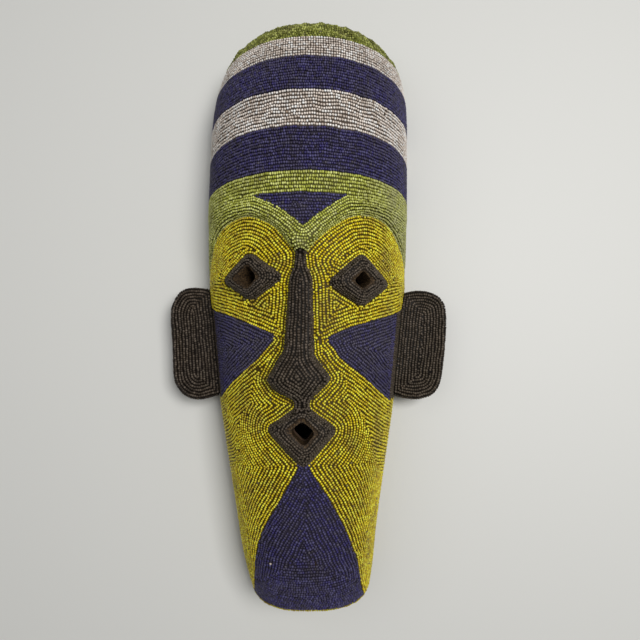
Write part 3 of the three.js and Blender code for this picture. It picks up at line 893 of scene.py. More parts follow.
# A darker copy of the green glass for the crown: painted shade on the dome's end, which turns away from the
# light.
shaded_crown_glass = bead_material(
    "green_glass_crown_shaded", (0.035, 0.036, 0.004), [(0.08, 0.09, 0.008), (0.22, 0.24, 0.03), (0.54, 0.57, 0.15)],
    0.3)
yellow_glass = bead_material(
    "yellow_glass", (0.055, 0.033, 0.0), [(0.50, 0.35, 0.0), (0.84, 0.66, 0.0), (1.0, 0.95, 0.06)], 0.2,
    specular=0.4)
silver_glass = bead_material(
    "silver_glass", (0.045, 0.031, 0.023), [(0.58, 0.48, 0.40), (0.92, 0.81, 0.71), (1.0, 0.99, 0.96)], 0.15,
    darkening=0.35, specular=0.7, stain_and_shading_colour=(0.30, 0.20, 0.11))
blue_glass = bead_material(
    "blue_glass", (0.015, 0.012, 0.024),
    [(0.020, 0.016, 0.026), (0.038, 0.032, 0.080), (0.036, 0.029, 0.140), (0.060, 0.053, 0.100),
     (0.088, 0.080, 0.205)], 0.3, specular=0.2, stain_and_shading_colour=(0.092, 0.082, 0.095), soot=(0.058, 0.050, 0.056),
    places=(0.0, 0.22, 0.5, 0.72, 1.0))
dark_glass = bead_material(
    "dark_glass", (0.003, 0.002, 0.0012),
    [(0.031, 0.0225, 0.0155), (0.060, 0.045, 0.033), (0.135, 0.105, 0.080)], 0.34, darkening=0.25, specular=0.2)

# Kinds of beads: the glass, its slot, the share of the step that a bead fills, the radii of its three
# rings and the value that picks the colour of the glue under it

Kind = namedtuple("Kind", "glass slot fills radii glue")
ROUND_ENDS, BLUNT_ENDS = (0.66, 1.0, 0.66), (0.8, 1.0, 0.8)
SHORT, LONG = 0.87, 0.97
DARK = Kind(dark_glass, "beads_dark", LONG, BLUNT_ENDS, 0.0)
BLUE = Kind(blue_glass, "beads_blue", LONG, ROUND_ENDS, 0.25)
YELLOW = Kind(yellow_glass, "beads_yellow", SHORT, ROUND_ENDS, 0.5)
GREEN = Kind(green_glass, "beads_green", SHORT, ROUND_ENDS, 0.75)
# The crown's green beads take the darker copy of the green glass, which is painted shade.
CROWN_GREEN = Kind(shaded_crown_glass, "beads_green", LONG, ROUND_ENDS, 0.75)
SILVER = Kind(silver_glass, "beads_silver", SHORT, ROUND_ENDS, 1.0)

# Meshes of beads. The corners round a bead's hole sit close together on its upper side.

CORNERS = np.radians([90, 30, -40, -140, 150])
# Darkening at each corner and at the ends. The lower sides are glue and painted shade between the rows, which
# leaves the top lit. The ends are painted shade between beads on a thread.
CORNER_GLUE_AND_SHADE = (0.0, 0.34, 1.0, 1.0, 0.34)
END_SHADE = 0.35
RING_PLACES = (-0.5, 0.0, 0.5)


def unit_bead(radii):
    """Vertices as (along the thread, sideways, up), faces and darkening of one bead, which is glue and
    painted shade.
    """
    vertices, glue_and_shade = [], []
    for place, radius in zip(RING_PLACES, radii):
        for corner, darkening in zip(CORNERS, CORNER_GLUE_AND_SHADE):
            vertices.append((place, radius * math.cos(corner), radius * math.sin(corner)))
            glue_and_shade.append(min(1.0, darkening + (END_SHADE if place else 0.0)))
    sides = len(CORNERS)
    last = (len(RING_PLACES) - 1) * sides
    faces = []
    for start in range(0, last, sides):
        for k in range(sides):
            a, b = start + k, start + (k + 1) % sides
            faces.append((a, a + sides, b + sides, b))
    faces.append(tuple(range(sides)))
    faces.append(tuple(last + k for k in reversed(range(sides))))
    return np.array(vertices), faces, np.array(glue_and_shade)


def repeated_mesh(name, vertices, faces):
    """One smooth object with the same faces on each row of vertices."""
    copies, corners = vertices.shape[:2]
    pattern = np.concatenate([np.array(face) for face in faces])
    loops = (pattern[None] + corners * np.arange(copies)[:, None]).ravel()
    totals = np.tile([len(face) for face in faces], copies)
    starts = np.concatenate([[0], np.cumsum(totals)[:-1]])
    mesh = bpy.data.meshes.new(name)
    mesh.vertices.add(copies * corners)
    mesh.vertices.foreach_set("co", (vertices.reshape(-1, 3) * MM).astype(np.float32).ravel())
    mesh.loops.add(len(loops))
    mesh.loops.foreach_set("vertex_index", loops.astype(np.int32))
    mesh.polygons.add(len(starts))
    mesh.polygons.foreach_set("loop_start", starts.astype(np.int32))
    mesh.polygons.foreach_set("loop_total", totals.astype(np.int32))
    mesh.polygons.foreach_set("use_smooth", np.ones(len(starts), bool))
    mesh.update(calc_edges=True)
    mesh.validate()
    return add_object(name, mesh)


# Spots seen in the photo, each with its place and its reach, and shares of odd beads elsewhere

MISSING_SPOTS = [
    ((7.5, -209.4, 85.2), 1.6), ((21.9, -222.7, 77.8), 1.5), ((7.0, -245.2, 68.5), 1.5),
    ((0.4, -235.6, 75.2), 1.3), ((22.8, -173.4, 87.5), 1.5), ((9.1, 143.9, 109.5), 1.6),
    ((36.2, 110.9, 103.9), 1.4), ((11.0, 138.5, 109.8), 1.3),
]
BROWN_SPOTS = [
    ((-32.1, 70.4, 108.0), 1.8), ((9.1, 67.9, 109.5), 1.6), ((-2.1, 62.4, 110.0), 1.8),
    ((36.2, 110.9, 103.9), 1.8),
]
WHITE_BEAD = (-29.2, -211.6, 78.0)
MISSING_SHARE = 0.0015
SOILED_SHARE = 0.012

# Radius, flatness and seat of a bead as shares of its width, and how unevenly beads are laid

RADIUS_SHARE, FLATNESS, SEAT_SHARE = 0.49, 0.97, 0.45
RADIUS_SPREAD = (0.93, 1.05)
TILT_SPREAD, SEAT_SPREAD, SIDE_SPREAD = 0.06, 0.08, 0.07


def bead_object(node, beads, width, kind, stain_and_shading_at=None, odd_bead=None):
    """One mesh holding every bead of a field. The width may be a function of place."""
    glass, slot, fills, radii, _ = kind
    for place, reach in MISSING_SPOTS:
        beads = beads[np.linalg.norm(beads[:, :3] - place, axis=1) > reach]
    beads = beads[rng.uniform(0, 1, len(beads)) > MISSING_SHARE]
    count = len(beads)
    centre, normal, thread, length = beads[:, :3], beads[:, 3:6], beads[:, 6:9], beads[:, 9]
    if callable(width):
        width = width(centre)
    shape, faces, glue_and_shade = unit_bead(radii)
    normal = unit(normal) + rng.normal(0, TILT_SPREAD, (count, 3))
    thread = unit(unit(thread) + rng.normal(0, TILT_SPREAD, (count, 3)))
    sideways = unit(np.cross(normal, thread))
    up = np.cross(thread, sideways)
    radius = width * RADIUS_SHARE * rng.uniform(*RADIUS_SPREAD, count)
    seat = BEAD_SEAT + width * SEAT_SHARE + rng.normal(0, SEAT_SPREAD, count) + lumps(centre)
    middle = centre + up * seat[:, None] + sideways * rng.normal(0, SIDE_SPREAD, count)[:, None]
    local = shape[None] * np.stack([length * fills, radius, radius * FLATNESS], 1)[:, None]
    along, aside, over = (local[..., k : k + 1] for k in range(3))
    vertices = middle[:, None] + (along * thread[:, None] + aside * sideways[:, None] + over * up[:, None])
    obj = repeated_mesh("glass_" + node, vertices, faces)
    add_values(obj.data, "tint", np.repeat(rng.uniform(0, 1, count), len(shape)))
    # Painted shade between the beads, with glue on their lower sides.
    add_values(obj.data, "glue_and_shade", np.tile(glue_and_shade, count))
    # Stains on odd beads and at spots, with the painted shade by the brow's arches and the painted light on
    # the right ear that those fields add.
    stain_and_shading = np.where(rng.uniform(0, 1, count) < SOILED_SHARE, rng.uniform(0.3, 0.9, count), 0.0)
    for place, reach in BROWN_SPOTS:
        stain_and_shading = np.maximum(stain_and_shading, np.exp(-((np.linalg.norm(centre - place, axis=1) / reach) ** 2)))
    if stain_and_shading_at is not None:
        stain_and_shading = np.maximum(stain_and_shading, stain_and_shading_at(centre))
    add_values(obj.data, "stain_and_shading", np.repeat(stain_and_shading, len(shape)))
    obj.data.materials.append(glass)
    if odd_bead is not None:
        place, odd_glass = odd_bead
        obj.data.materials.append(odd_glass)
        nearest = int(np.linalg.norm(centre - place, axis=1).argmin())
        for face in range(len(faces) * nearest, len(faces) * (nearest + 1)):
            obj.data.polygons[face].material_index = 1
    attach(obj, "root")
    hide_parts(node)


# Stripes of the forehead and the crown. A fit is the width of a bead as a share of its row.

SILVER_FIT, BLUE_FIT = 0.91, 1.1
STRIPES = (
    ("beads_stripe_silver_upper", UPPER_SILVER_EDGE, CAP_EDGE, 8, SILVER, SILVER_FIT, 2.02, True),
    ("beads_stripe_blue_upper", UPPER_BLUE_EDGE, UPPER_SILVER_EDGE, 12, BLUE, BLUE_FIT, BLUE_STEP, False),
    ("beads_stripe_silver_lower", LOWER_SILVER_EDGE, UPPER_BLUE_EDGE, 11, SILVER, SILVER_FIT, STEP, False),
    ("beads_stripe_blue_lower", LOWER_BLUE_EDGE, LOWER_SILVER_EDGE, 14, BLUE, BLUE_FIT, BLUE_STEP, False),
)
BORDER_SWAY = 0.8
STRIPE_MARGIN = 5.0
CROWN_MARGIN = 3.0


def stripe(node, low, high, row_count, kind, fit, step, lined_up):
    """A stripe with the same count of rows from rim to rim. Its borders sway a little."""
    field = wood_patch(low - STRIPE_MARGIN, high + STRIPE_MARGIN, step=step)
    field.require(above_rim)
    free = np.sin(np.clip((field.y - LOWER_BLUE_EDGE) / (CAP_EDGE - LOWER_BLUE_EDGE), 0, 1) * math.pi)
    share = (field.y + BORDER_SWAY * free * waver(field.x * 1.1, field.y * 0.4) - low) / (high - low)
    field.rows(share * row_count * PITCH, last=row_count, lined_up=lined_up)
    bead_object(node, field.beads, (high - low) / row_count * fit, kind)


def crown():
    """Rows that nest inside each other from the upper stripe to the top of the crown."""
    field = wood_patch(CAP_EDGE - CROWN_MARGIN, HALF_LENGTH)
    field.require(above_rim, lambda places: places[:, 1] > CAP_EDGE)
    field.rows(field.distance(across_at(CAP_EDGE)))
    bead_object("beads_crown_green", field.beads, PITCH, CROWN_GREEN)


for row in STRIPES:
    stripe(*row)
crown()

# The brow and the triangle in it

brow_edge = edges(BROW_LEFT, [BROW_LEFT[-1], BROW_RIGHT[0]], BROW_RIGHT)
ROWS_OVER_TRIANGLE = 6
ROWS_UNDER_TRIANGLE = 8
TURN_STARTS, TURN_ENDS = 7.4, 1.6
NOSE_ROOT = 31.4
BAND_SPACING = 17.0 / ROWS_OVER_TRIANGLE
TEMPLE_SPACING = 2.35
TRIANGLE_MIDDLE = -5.5
BAND_NARROWS = (38, 78)
TIGHTEST_ROWS = 1.95
BROW_WANDER, TRIANGLE_WANDER = -0.2, -0.5
BROW_FIT, TRIANGLE_FIT = 0.96, 1.04
BAND_BEADS_FROM = (68, 76)
BROW_SPAN = (-2, LOWER_BLUE_EDGE + 3)
GREY_REACH = 4.5
BROWN_ROOT = (-4.0, 34.0)
TEMPLE_STARTS, TEMPLE_WIDTH = 45, 25


def dull(places):
    """Patches of grey along the arches, painted shade where the flank of the brow turns down; grey at the
    right temple, and brown over the root of the nose.
    """
    x, y = places[:, 0], places[:, 1]
    patchy = np.clip(0.35 + waver(1.6 * x, 1.6 * y), 0, 1)
    # Painted shade: greyer next to the arches of the brow.
    near = np.exp(-((distance_to_points(places, brow_edge) / GREY_REACH) ** 2))
    root = np.exp(-((np.hypot(x - BROWN_ROOT[0], y - BROWN_ROOT[1]) / GREY_REACH) ** 2))
    temple = 0.7 * np.clip((x - TEMPLE_STARTS) / TEMPLE_WIDTH, 0, 1)
    dulled = np.maximum(np.maximum(0.75 * near * patchy, 0.8 * root), temple)
    return dulled * rng.uniform(0.3, 1, len(places))


def brow_width(places):
    """Beads are wider in the band over the triangle, where the rows are further apart."""
    return np.interp(places[:, 1], BAND_BEADS_FROM, (BROW_FIT * BROW_PITCH, BAND_SPACING))


def brow():
    """The band follows the stripe above it, goes round the triangle and bends round both arches.

    Rows are spaced where the middles of the beads lie, because the flank of the brow is a sharp bend.
    """
    field = wood_patch(*BROW_SPAN, BROW_PITCH, GREEN_STEP)
    on_nose = inside_of(nose_loop)
    field.require(
        above_rim, lambda places: places[:, 1] < LOWER_BLUE_EDGE, inside_of(brow_loop),
        outside_of(triangle_loop), lambda places: ~on_nose(places) | (places[:, 1] > NOSE_ROOT - 0.3),
        clear_of(edges(TRIANGLE_LEFT, TRIANGLE_RIGHT, TRIANGLE_TOP), BROW_PITCH * 0.3))
    from_band = field.distance_over(across_at(LOWER_BLUE_EDGE))
    from_band[field.y > LOWER_BLUE_EDGE] *= -1
    spacing = np.interp(np.abs(field.x - TRIANGLE_MIDDLE), BAND_NARROWS, (BAND_SPACING, TEMPLE_SPACING))
    from_triangle = field.distance_over(edges(TRIANGLE_LEFT, TRIANGLE_RIGHT))
    below = np.minimum(from_band - ROWS_OVER_TRIANGLE * spacing, from_triangle)
    to_arch = field.distance_over(brow_edge)
    space = np.clip((np.maximum(below, 0) + to_arch) / ROWS_UNDER_TRIANGLE, TIGHTEST_ROWS, BROW_PITCH)
    rows = np.where(below > 0, ROWS_OVER_TRIANGLE + below / space, from_band / spacing)
    near_arch = to_arch / space
    turn = np.clip((TURN_STARTS - near_arch) / (TURN_STARTS - TURN_ENDS), 0, 1)
    turn = turn * turn * (3 - 2 * turn)
    field.rows(rows * BROW_PITCH, wander=BROW_WANDER, within=near_arch - TURN_STARTS)
    field.rows_between(rows, near_arch, turn, BROW_WANDER, TURN_STARTS - near_arch)
    field.fill(roomy=0.68, within=below > 0.4 * BROW_PITCH)
    bead_object("beads_brow_green", field.beads, brow_width, GREEN, dull)


def forehead_triangle():
    """Straight rows along the upper edge of the triangle."""
    field = loop_patch(triangle_loop, TRIANGLE_PITCH)
    field.rows(field.distance(edges(TRIANGLE_TOP)), first=0.4, wander=TRIANGLE_WANDER)
    field.fill(roomy=0.62)
    bead_object("beads_forehead_triangle_blue", field.beads, TRIANGLE_PITCH * TRIANGLE_FIT, BLUE)


brow()
forehead_triangle()

# Eye fields. The ear beads climb the wall over each ear.

CUFF_TOP_LEFT, CUFF_TOP_RIGHT = 42.0, 46.0
EDGE_GAP = PITCH * 0.4
YELLOW_FIT = 0.95
ROWS_BESIDE_NOSE = 2.5
ROWS_OVER_FRAME = 2.5
ROWS_TURN_ON_WALL = [(-7, 34), (0, 31), (10, 30), (20, 27)]
EYE_SPAN = (-45, 66)


def in_cuff(places):
    """Whether places lie low on the wall over an ear."""
    x, y, z = places.T
    on_cheek = inside(x, y, cheek_left_loop) | inside(x, y, cheek_right_loop)
    return on_cheek & (z < np.where(x < 0, CUFF_TOP_LEFT, CUFF_TOP_RIGHT))


def off_cuffs(places):
    return ~in_cuff(places)


def eye_field(node, loop, shape, side, brow_run, nose_run, cheek_run, tip_run):
    """Rows run in from the outer edges, with a nest of short rows between eye and nose."""
    field = wood_patch(*EYE_SPAN)
    foot, nose_edge = ring(shape.foot), edges(nose_run)
    field.require(above_rim, inside_of(loop), *map(outside_of, (shape.foot, nose_loop, brow_loop)), off_cuffs,
                  *(clear_of(line, EDGE_GAP) for line in (foot, brow_edge, nose_edge)))
    outer = np.vstack([edges(brow_run, nose_run, cheek_run, tip_run), wall_line(ROWS_TURN_ON_WALL, side)])
    beside_nose = [corner_of(shape.foot, corner).mean(0) for corner in (RIGHT if side < 0 else LEFT, BOTTOM)]
    nest = field.distance(on_wood(np.array(beside_nose))) + ROWS_BESIDE_NOSE * PITCH
    top_corner = on_wood(corner_of(shape.foot, TOP)[:3])
    over = distance_to_points(top_corner, outer).max() - 2 * ROWS_OVER_FRAME * PITCH
    roof = field.distance(foot) + over
    field.rows(np.minimum(np.minimum(field.distance(outer), nest), roof))
    field.fill()
    bead_object(node, field.beads, PITCH * YELLOW_FIT, YELLOW)


eye_field("beads_eye_field_yellow_left", eye_left_loop, eye_left, -1, BROW_LEFT[1:], NOSE_LEFT,
          CHEEK_TOP_LEFT[1:], TIP_LEFT)
eye_field("beads_eye_field_yellow_right", eye_right_loop, eye_right, 1, BROW_RIGHT[:-1], NOSE_RIGHT,
          CHEEK_TOP_RIGHT[:-1], TIP_RIGHT)

# Cheeks, lower face and chin. The beads of the lower face are wider on the side walls than in front.

WALL_HEIGHT, FRONT_HEIGHT = 44, 76
BLUE_WANDER = 0.6
CHIN_ROWS = 8
CHEEK_SPAN, CHIN_SPAN, LOWER_SPAN = (-92, 6), (-260, -125), (-260, -33)
LOWER_LEFT_FITS, LOWER_RIGHT_FITS = (0.96, 0.79), (1.0, 0.83)
UNDER_CHEEK = [(-87, 46), (-97, 2)]
CHEEK_MIDDLE, CHEEK_WEAR = (44, -42), (26, 24)

nose_edges = edges(NOSE_LEFT, NOSE_RIGHT, NOSE_FOOT_LEFT, NOSE_FOOT_RIGHT)
mouth_foot = ring(mouth.foot)
chin_bottom = across_at(-HALF_LENGTH)
ear_walls = [
    on_wood(np.array([(-83.5, 0.0), (-79.0, -30.0), (-74.3, -70.0), (-72.3, -86.0)])),
    on_wood(np.array([(82.5, 0.0), (79.0, -30.0), (74.3, -70.0), (72.3, -86.0)])),
]
lower_walls = [wall_line(UNDER_CHEEK, side) for side in (-1, 1)]


def plain_field(node, loop, span, sources, kind, holes, away_from, first=0.5, shift=None, pitch=PITCH,
                wander=WANDER, stain_and_shading_at=None, odd_bead=None, fits=(1.04, 1.04)):
    """Rows that run in from the given edges until they meet."""
    field = wood_patch(*span, pitch)
    field.require(above_rim, inside_of(loop), off_cuffs, clear_of(away_from, EDGE_GAP),
                  *map(outside_of, holes))
    rows = field.distance(np.vstack(sources))
    if shift:
        rows = np.minimum(rows, field.distance(shift[0]) - shift[1])
    field.rows(rows, first=first, wander=wander)
    field.fill()

    def bead_width(places):
        return pitch * np.interp(places[:, 2], (WALL_HEIGHT, FRONT_HEIGHT), fits)

    bead_object(node, field.beads, bead_width, kind, stain_and_shading_at, odd_bead)


def worn(places):
    """The cheeks are greyer in the middle than towards the ears."""
    out = (np.abs(places[:, 0]) - CHEEK_MIDDLE[0]) / CHEEK_WEAR[0]
    up = (places[:, 1] - CHEEK_MIDDLE[1]) / CHEEK_WEAR[1]
    return 0.75 * np.exp(-(np.hypot(out, up) ** 2)) * rng.uniform(0.1, 1, len(places))


for node, loop, top, foot, wall in (
    ("beads_cheek_blue_left", cheek_left_loop, CHEEK_TOP_LEFT, CHEEK_FOOT_LEFT, ear_walls[0]),
    ("beads_cheek_blue_right", cheek_right_loop, CHEEK_TOP_RIGHT, CHEEK_FOOT_RIGHT, ear_walls[1]),
):
    plain_field(node, loop, CHEEK_SPAN, [edges(top, foot), wall], BLUE, [nose_loop], nose_edges,
                pitch=CHEEK_PITCH, wander=BLUE_WANDER, stain_and_shading_at=worn)

chin_sides = edges(CHIN_LEFT[1:], CHIN_RIGHT[:-1])
plain_field("beads_chin_blue", chin_loop, CHIN_SPAN, [chin_sides], BLUE, [mouth.foot], chin_sides,
            first=0.5 - CHIN_ROWS, shift=(chin_bottom, CHIN_ROWS * CHIN_PITCH), pitch=CHIN_PITCH,
            wander=BLUE_WANDER, odd_bead=(WHITE_BEAD, silver_glass))

for node, loop, wall, cheek, nose_side, nose_foot, chin, fits in (
    ("beads_lower_face_yellow_left", lower_left_loop, lower_walls[0], CHEEK_FOOT_LEFT, NOSE_LEFT,
     NOSE_FOOT_LEFT, CHIN_LEFT[1:], LOWER_LEFT_FITS),
    ("beads_lower_face_yellow_right", lower_right_loop, lower_walls[1], CHEEK_FOOT_RIGHT, NOSE_RIGHT,
     NOSE_FOOT_RIGHT, CHIN_RIGHT[:-1], LOWER_RIGHT_FITS),
):
    plain_field(node, loop, LOWER_SPAN,
                [edges(cheek), wall, edges(nose_side, nose_foot), mouth_foot, edges(chin)], YELLOW,
                [nose_loop, mouth.foot, chin_loop], chin_bottom, fits=fits)

# Nose and frames. Their flanks are steep, and their beads are turned up towards the front.

FLANK_LEAN = 0.7
DARK_WANDER, RING_WANDER = 0.2, 0.1
DARK_FIT, NARROW_DARK_FIT = 0.93, 0.88
NOSE_SPAN = (-96, 40)
PALE_PLACE, PALE_REACH = -76, 14


def pale_foot(places):
    """The foot of the nose is paler than its bridge."""
    near = np.exp(-(((places[:, 1] - PALE_PLACE) / PALE_REACH) ** 2))
    return 0.8 * near * rng.uniform(0, 1, len(places))


def nose():
    """Rows climb the flanks from the foot, then run along the nose on its flat top."""
    field = wood_patch(*NOSE_SPAN, NOSE_PITCH)
    field.require(inside_of(nose_loop), lambda places: places[:, 1] < NOSE_ROOT)
    from_shoulder = distance_to_path(field.x, field.y, nose_top_loop)
    from_shoulder[~inside(field.x, field.y, nose_top_loop)] *= -1
    field.rows(field.distance(nose_edges), first=0.4, also=outside_of(nose_top_loop))
    field.rows(from_shoulder, first=0.45, also=inside_of(nose_top_loop), wander=DARK_WANDER)
    field.fill()
    field.beads[:, 5] += FLANK_LEAN
    bead_object("beads_nose", field.beads, NOSE_PITCH * DARK_FIT, DARK, pale_foot)


def raised_frame(node, shape):
    """Rings up the flank from the foot and over the top to the bare rim of the hole."""
    field = loop_patch(shape.foot, FRAME_PITCH)
    foot, bare = ring(shape.foot), ring(shape.bare)
    field.require(outside_of(shape.bare), clear_of(bare, FRAME_PITCH * 0.35))
    if shape is mouth:
        field.require(outside_of(nose_loop))
    from_foot, from_bare = (field.distance_over(line) / FRAME_PITCH for line in (foot, bare))
    turn = from_foot / np.maximum(from_foot + from_bare, 1e-6)
    field.rows_between(from_foot, from_bare, turn, RING_WANDER)
    field.fill(roomy=0.66)
    field.beads[:, 5] += FLANK_LEAN
    bead_object(node, field.beads, FRAME_PITCH * NARROW_DARK_FIT, DARK,
                lambda places: rng.uniform(0, 0.5, len(places)))


nose()
for node, shape in zip(("beads_eye_frame_left", "beads_eye_frame_right", "beads_mouth_frame"), FRAMES):
    raised_frame(node, shape)

# Ears and the end wall under the chin

FLAT_STEP = 0.8
BEAD_LAYER = 2.6
EAR_MARGIN = 3
RIM_STEP = 0.5
CUFF_ROWS = 12
CUFF_SPAN, OVER_EAR = (-90, 14), [(12, EAR_TOP), (-96, EAR_TOP)]
CHIN_END_SPAN, CHIN_END_TOP = (-60, 62), 66


def ear(node, loop, edge_run, side, fit, painted_light_share):
    """Rings on the flat top, rings round the upright edge and rows on the wall over the ear."""
    (left, low), (right, high) = loop.min(0) - EAR_MARGIN, loop.max(0) + EAR_MARGIN
    x, y = np.meshgrid(np.arange(left, right, FLAT_STEP), np.arange(low, high, FLAT_STEP))
    field = flat_patch(np.stack([x, y, 0 * x + EAR_TOP], -1), [0.0, 0.0, 1.0], DARK_PITCH)
    inner = np.column_stack([wall_x(EAR_TOP, y[:, 0], side, BEAD_LAYER), y[:, 0]])

    def off_wall(places):
        wall = wall_x(places[:, 2], places[:, 1], side, BEAD_LAYER)
        return side * (places[:, 0] - wall) > DARK_PITCH * 0.3

    field.require(inside_of(loop), off_wall)
    from_edges = [distance_to_path(x, y, line, is_closed=False) for line in (run_points(edge_run), inner)]
    field.rows(np.minimum(*from_edges), first=0.35, wander=0.25)
    field.fill(roomy=0.7)
    outward = unit(inset_loop(loop, -0.01) - loop)
    rim = []
    for z in np.arange(EAR_TOP - DARK_PITCH * 0.45, EAR_UNDERSIDE + 1, -DARK_PITCH):
        chain = np.column_stack([loop, np.full(len(loop), z), outward, np.zeros(len(loop))])
        chain = np.vstack([chain, chain[:1]])
        walked = walked_along(chain[:, :2])
        rim.append(string_beads(chain_at(np.arange(0, walked[-1], RIM_STEP), walked, chain), STEP))
    rim = np.vstack(rim)
    cuff = wood_patch(*CUFF_SPAN, DARK_PITCH)
    cuff.require(in_cuff, lambda places: (places[:, 2] > EAR_TOP + 1) & (places[:, 0] * side > 0))
    cuff.rows(cuff.distance(wall_line(OVER_EAR, side)), last=CUFF_ROWS, wander=DARK_WANDER)
    beads = np.vstack([field.beads, rim[off_wall(rim[:, :3])], cuff.beads])
    # Beads are made paler at random up to a share. On the right ear this share is painted light from the
    # right.
    bead_object(node, beads, DARK_PITCH * fit, DARK, lambda places: rng.uniform(0, painted_light_share, len(places)))


def chin_end():
    """The upright end wall under the chin: arched rows inside each other."""
    x, z = np.meshgrid(np.arange(*CHIN_END_SPAN, FLAT_STEP), np.arange(0, CHIN_END_TOP, FLAT_STEP))
    field = flat_patch(np.stack([x, 0 * x - HALF_LENGTH, z], -1), [0.0, -1.0, 0.0], PITCH)
    field.require(above_rim)
    rows = field.distance(chin_bottom)
    rows[z > height_on(face_section, x, np.array(-HALF_LENGTH))] *= -1
    field.rows(rows, first=-0.35, wander=0.2)
    bead_object("beads_chin_end_yellow", field.beads, PITCH, YELLOW)


# The right ear is painted paler than the left: painted light from the right.
ear("beads_ear_left", ear_left_loop, EAR_LEFT_EDGE, -1, NARROW_DARK_FIT, 0.0)
ear("beads_ear_right", ear_right_loop, EAR_RIGHT_EDGE, 1, DARK_FIT, 0.45)
chin_end()

# The carved wood with its skin of glue, cut hollow and pierced

GLUE_COLOURS = [
    (0.0, (0.009, 0.006, 0.0035)), (0.125, (0.034, 0.028, 0.048)), (0.375, (0.065, 0.040, 0.002)),
    (0.625, (0.11, 0.105, 0.018)), (0.875, (0.11, 0.08, 0.06)),
]
OCHRE_GLUE = [(0.35, (0.010, 0.006, 0.003)), (0.5, (0.03, 0.018, 0.009)), (0.75, (0.11, 0.068, 0.03))]
WOOD_BROWNS = [(0.25, (0.035, 0.017, 0.008)), (0.5, (0.085, 0.044, 0.021)), (0.8, (0.17, 0.095, 0.046))]
WOOD_SOOT = (0.03, 0.018, 0.011)


def glue_material():
    """Dark glue with thread in it, ochre where it dried thick or no bead ever sat."""
    material, tree, shader = new_material("dark_glue")
    fine = add_noise(tree, scale=900, detail=4)
    under = add_ramp(tree, add_attribute(tree, "field"), GLUE_COLOURS)
    under.node.color_ramp.interpolation = "CONSTANT"
    speckle = add_ramp(tree, fine, [(0.3, grey(0.4)), (0.8, grey(1.0))])
    dark = add_mix(tree, 1.0, under, speckle, "MULTIPLY")
    ochre = add_ramp(tree, fine, OCHRE_GLUE)
    feed(tree, shader.inputs["Base Color"], add_mix(tree, add_attribute(tree, "bare"), dark, ochre))
    feed(tree, shader.inputs["Roughness"], 0.6)
    feed(tree, shader.inputs["Specular IOR Level"], 0.15)
    return material


def wood_material():
    """Brown wood with a grain along the mask, sooty in patches."""
    material, tree, shader = new_material("carved_wood")
    grain = add_noise(tree, scale=260, detail=6, stretch=(1.0, 0.12, 1.0))
    smoke = add_noise(tree, scale=9, detail=3)
    brown = add_ramp(tree, grain, WOOD_BROWNS)
    sooty = add_ramp(tree, smoke, [(0.35, grey(0)), (0.75, grey(0.7))])
    feed(tree, shader.inputs["Base Color"], add_mix(tree, sooty, brown, WOOD_SOOT))
    feed(tree, shader.inputs["Roughness"], add_scale(tree, grain, 0.6, 0.85))
    bump = tree.nodes.new("ShaderNodeBump")
    bump.inputs["Strength"].default_value = 0.4
    bump.inputs["Distance"].default_value = 0.0006
    tree.links.new(grain, bump.inputs["Height"])
    tree.links.new(bump.outputs["Normal"], shader.inputs["Normal"])
    return material


glue, wood = glue_material(), wood_material()
GLUE_LIFT = 1.15
BARE_LIFT = 0.15


def log_solid(name, points, base, material):
    """A closed half round log. The first and last column run along its base."""
    points = points.copy()
    points[:, 0, 2] = points[:, -1, 2] = base
    rows, columns = points.shape[:2]
    index = np.arange(rows * columns).reshape(rows, columns)
    left, right = index[:, 0], index[:, -1]
    skin = np.stack([index[:-1, :-1], index[:-1, 1:], index[1:, 1:], index[1:, :-1]], -1)
    faces = skin.reshape(-1, 4).tolist()
    faces += np.stack([left[:-1], left[1:], right[1:], right[:-1]], -1).tolist()
    faces += [index[0, ::-1].tolist(), index[-1].tolist()]
    return add_solid(name, points, faces, material)


def rings_solid(name, rings, material):
    """A closed solid from rings of points listed from the bottom up."""
    index = np.arange(len(rings) * len(rings[0])).reshape(len(rings), -1)
    turned = np.roll(index, -1, axis=1)
    skin = np.stack([index[:-1], turned[:-1], turned[1:], index[1:]], -1)
    faces = skin.reshape(-1, 4).tolist()
    faces += [index[0, ::-1].tolist(), index[-1].tolist()]
    return add_solid(name, np.vstack(rings), faces, material)


def anticlockwise(loop):
    x, y = loop.T
    area = (x * np.roll(y, -1) - np.roll(x, -1) * y).sum()
    return loop if area > 0 else loop[::-1]


# The log's mesh is finer over the face, and across the front as far as a share of the half width

JAW, CHIN_MESH, FACE_MESH, CROWN_MESH = -140.0, 3.0, 1.4, 3.4
FINE_FRONT, FINE_COLUMNS, WALL_COLUMNS = 0.84, 107, 26


def outer_log():
    """The outside of the mask, skinned with glue, with bare wood round the holes."""
    stations = np.concatenate([
        np.arange(-HALF_LENGTH, JAW, CHIN_MESH), np.arange(JAW, CROWN_STARTS + 3, FACE_MESH),
        crown_rows(CROWN_MESH)[2:]])
    fine = np.linspace(-FINE_FRONT, FINE_FRONT, FINE_COLUMNS)
    coarse = np.sin(np.linspace(math.asin(FINE_FRONT), math.pi / 2, WALL_COLUMNS)[1:])
    across = np.concatenate([-coarse[::-1], fine, coarse])
    angle = np.arcsin(np.clip(np.sign(across) * np.abs(across) ** (FACE_SQUARENESS / 2), -1, 1))
    points, normals = grid_of(stations, angle)
    lift = GLUE_LIFT + lumps(points)
    for shape in FRAMES:
        lift[inside(points[..., 0], points[..., 1], shape.bare)] = BARE_LIFT
    lifted = points + normals * lift[..., None]
    lifted[..., 2] = np.maximum(lifted[..., 2], 0)
    lifted[0, :, 1] = -HALF_LENGTH - GLUE_LIFT
    return log_solid("carved_mask_of_wood", lifted, 0.0, glue)


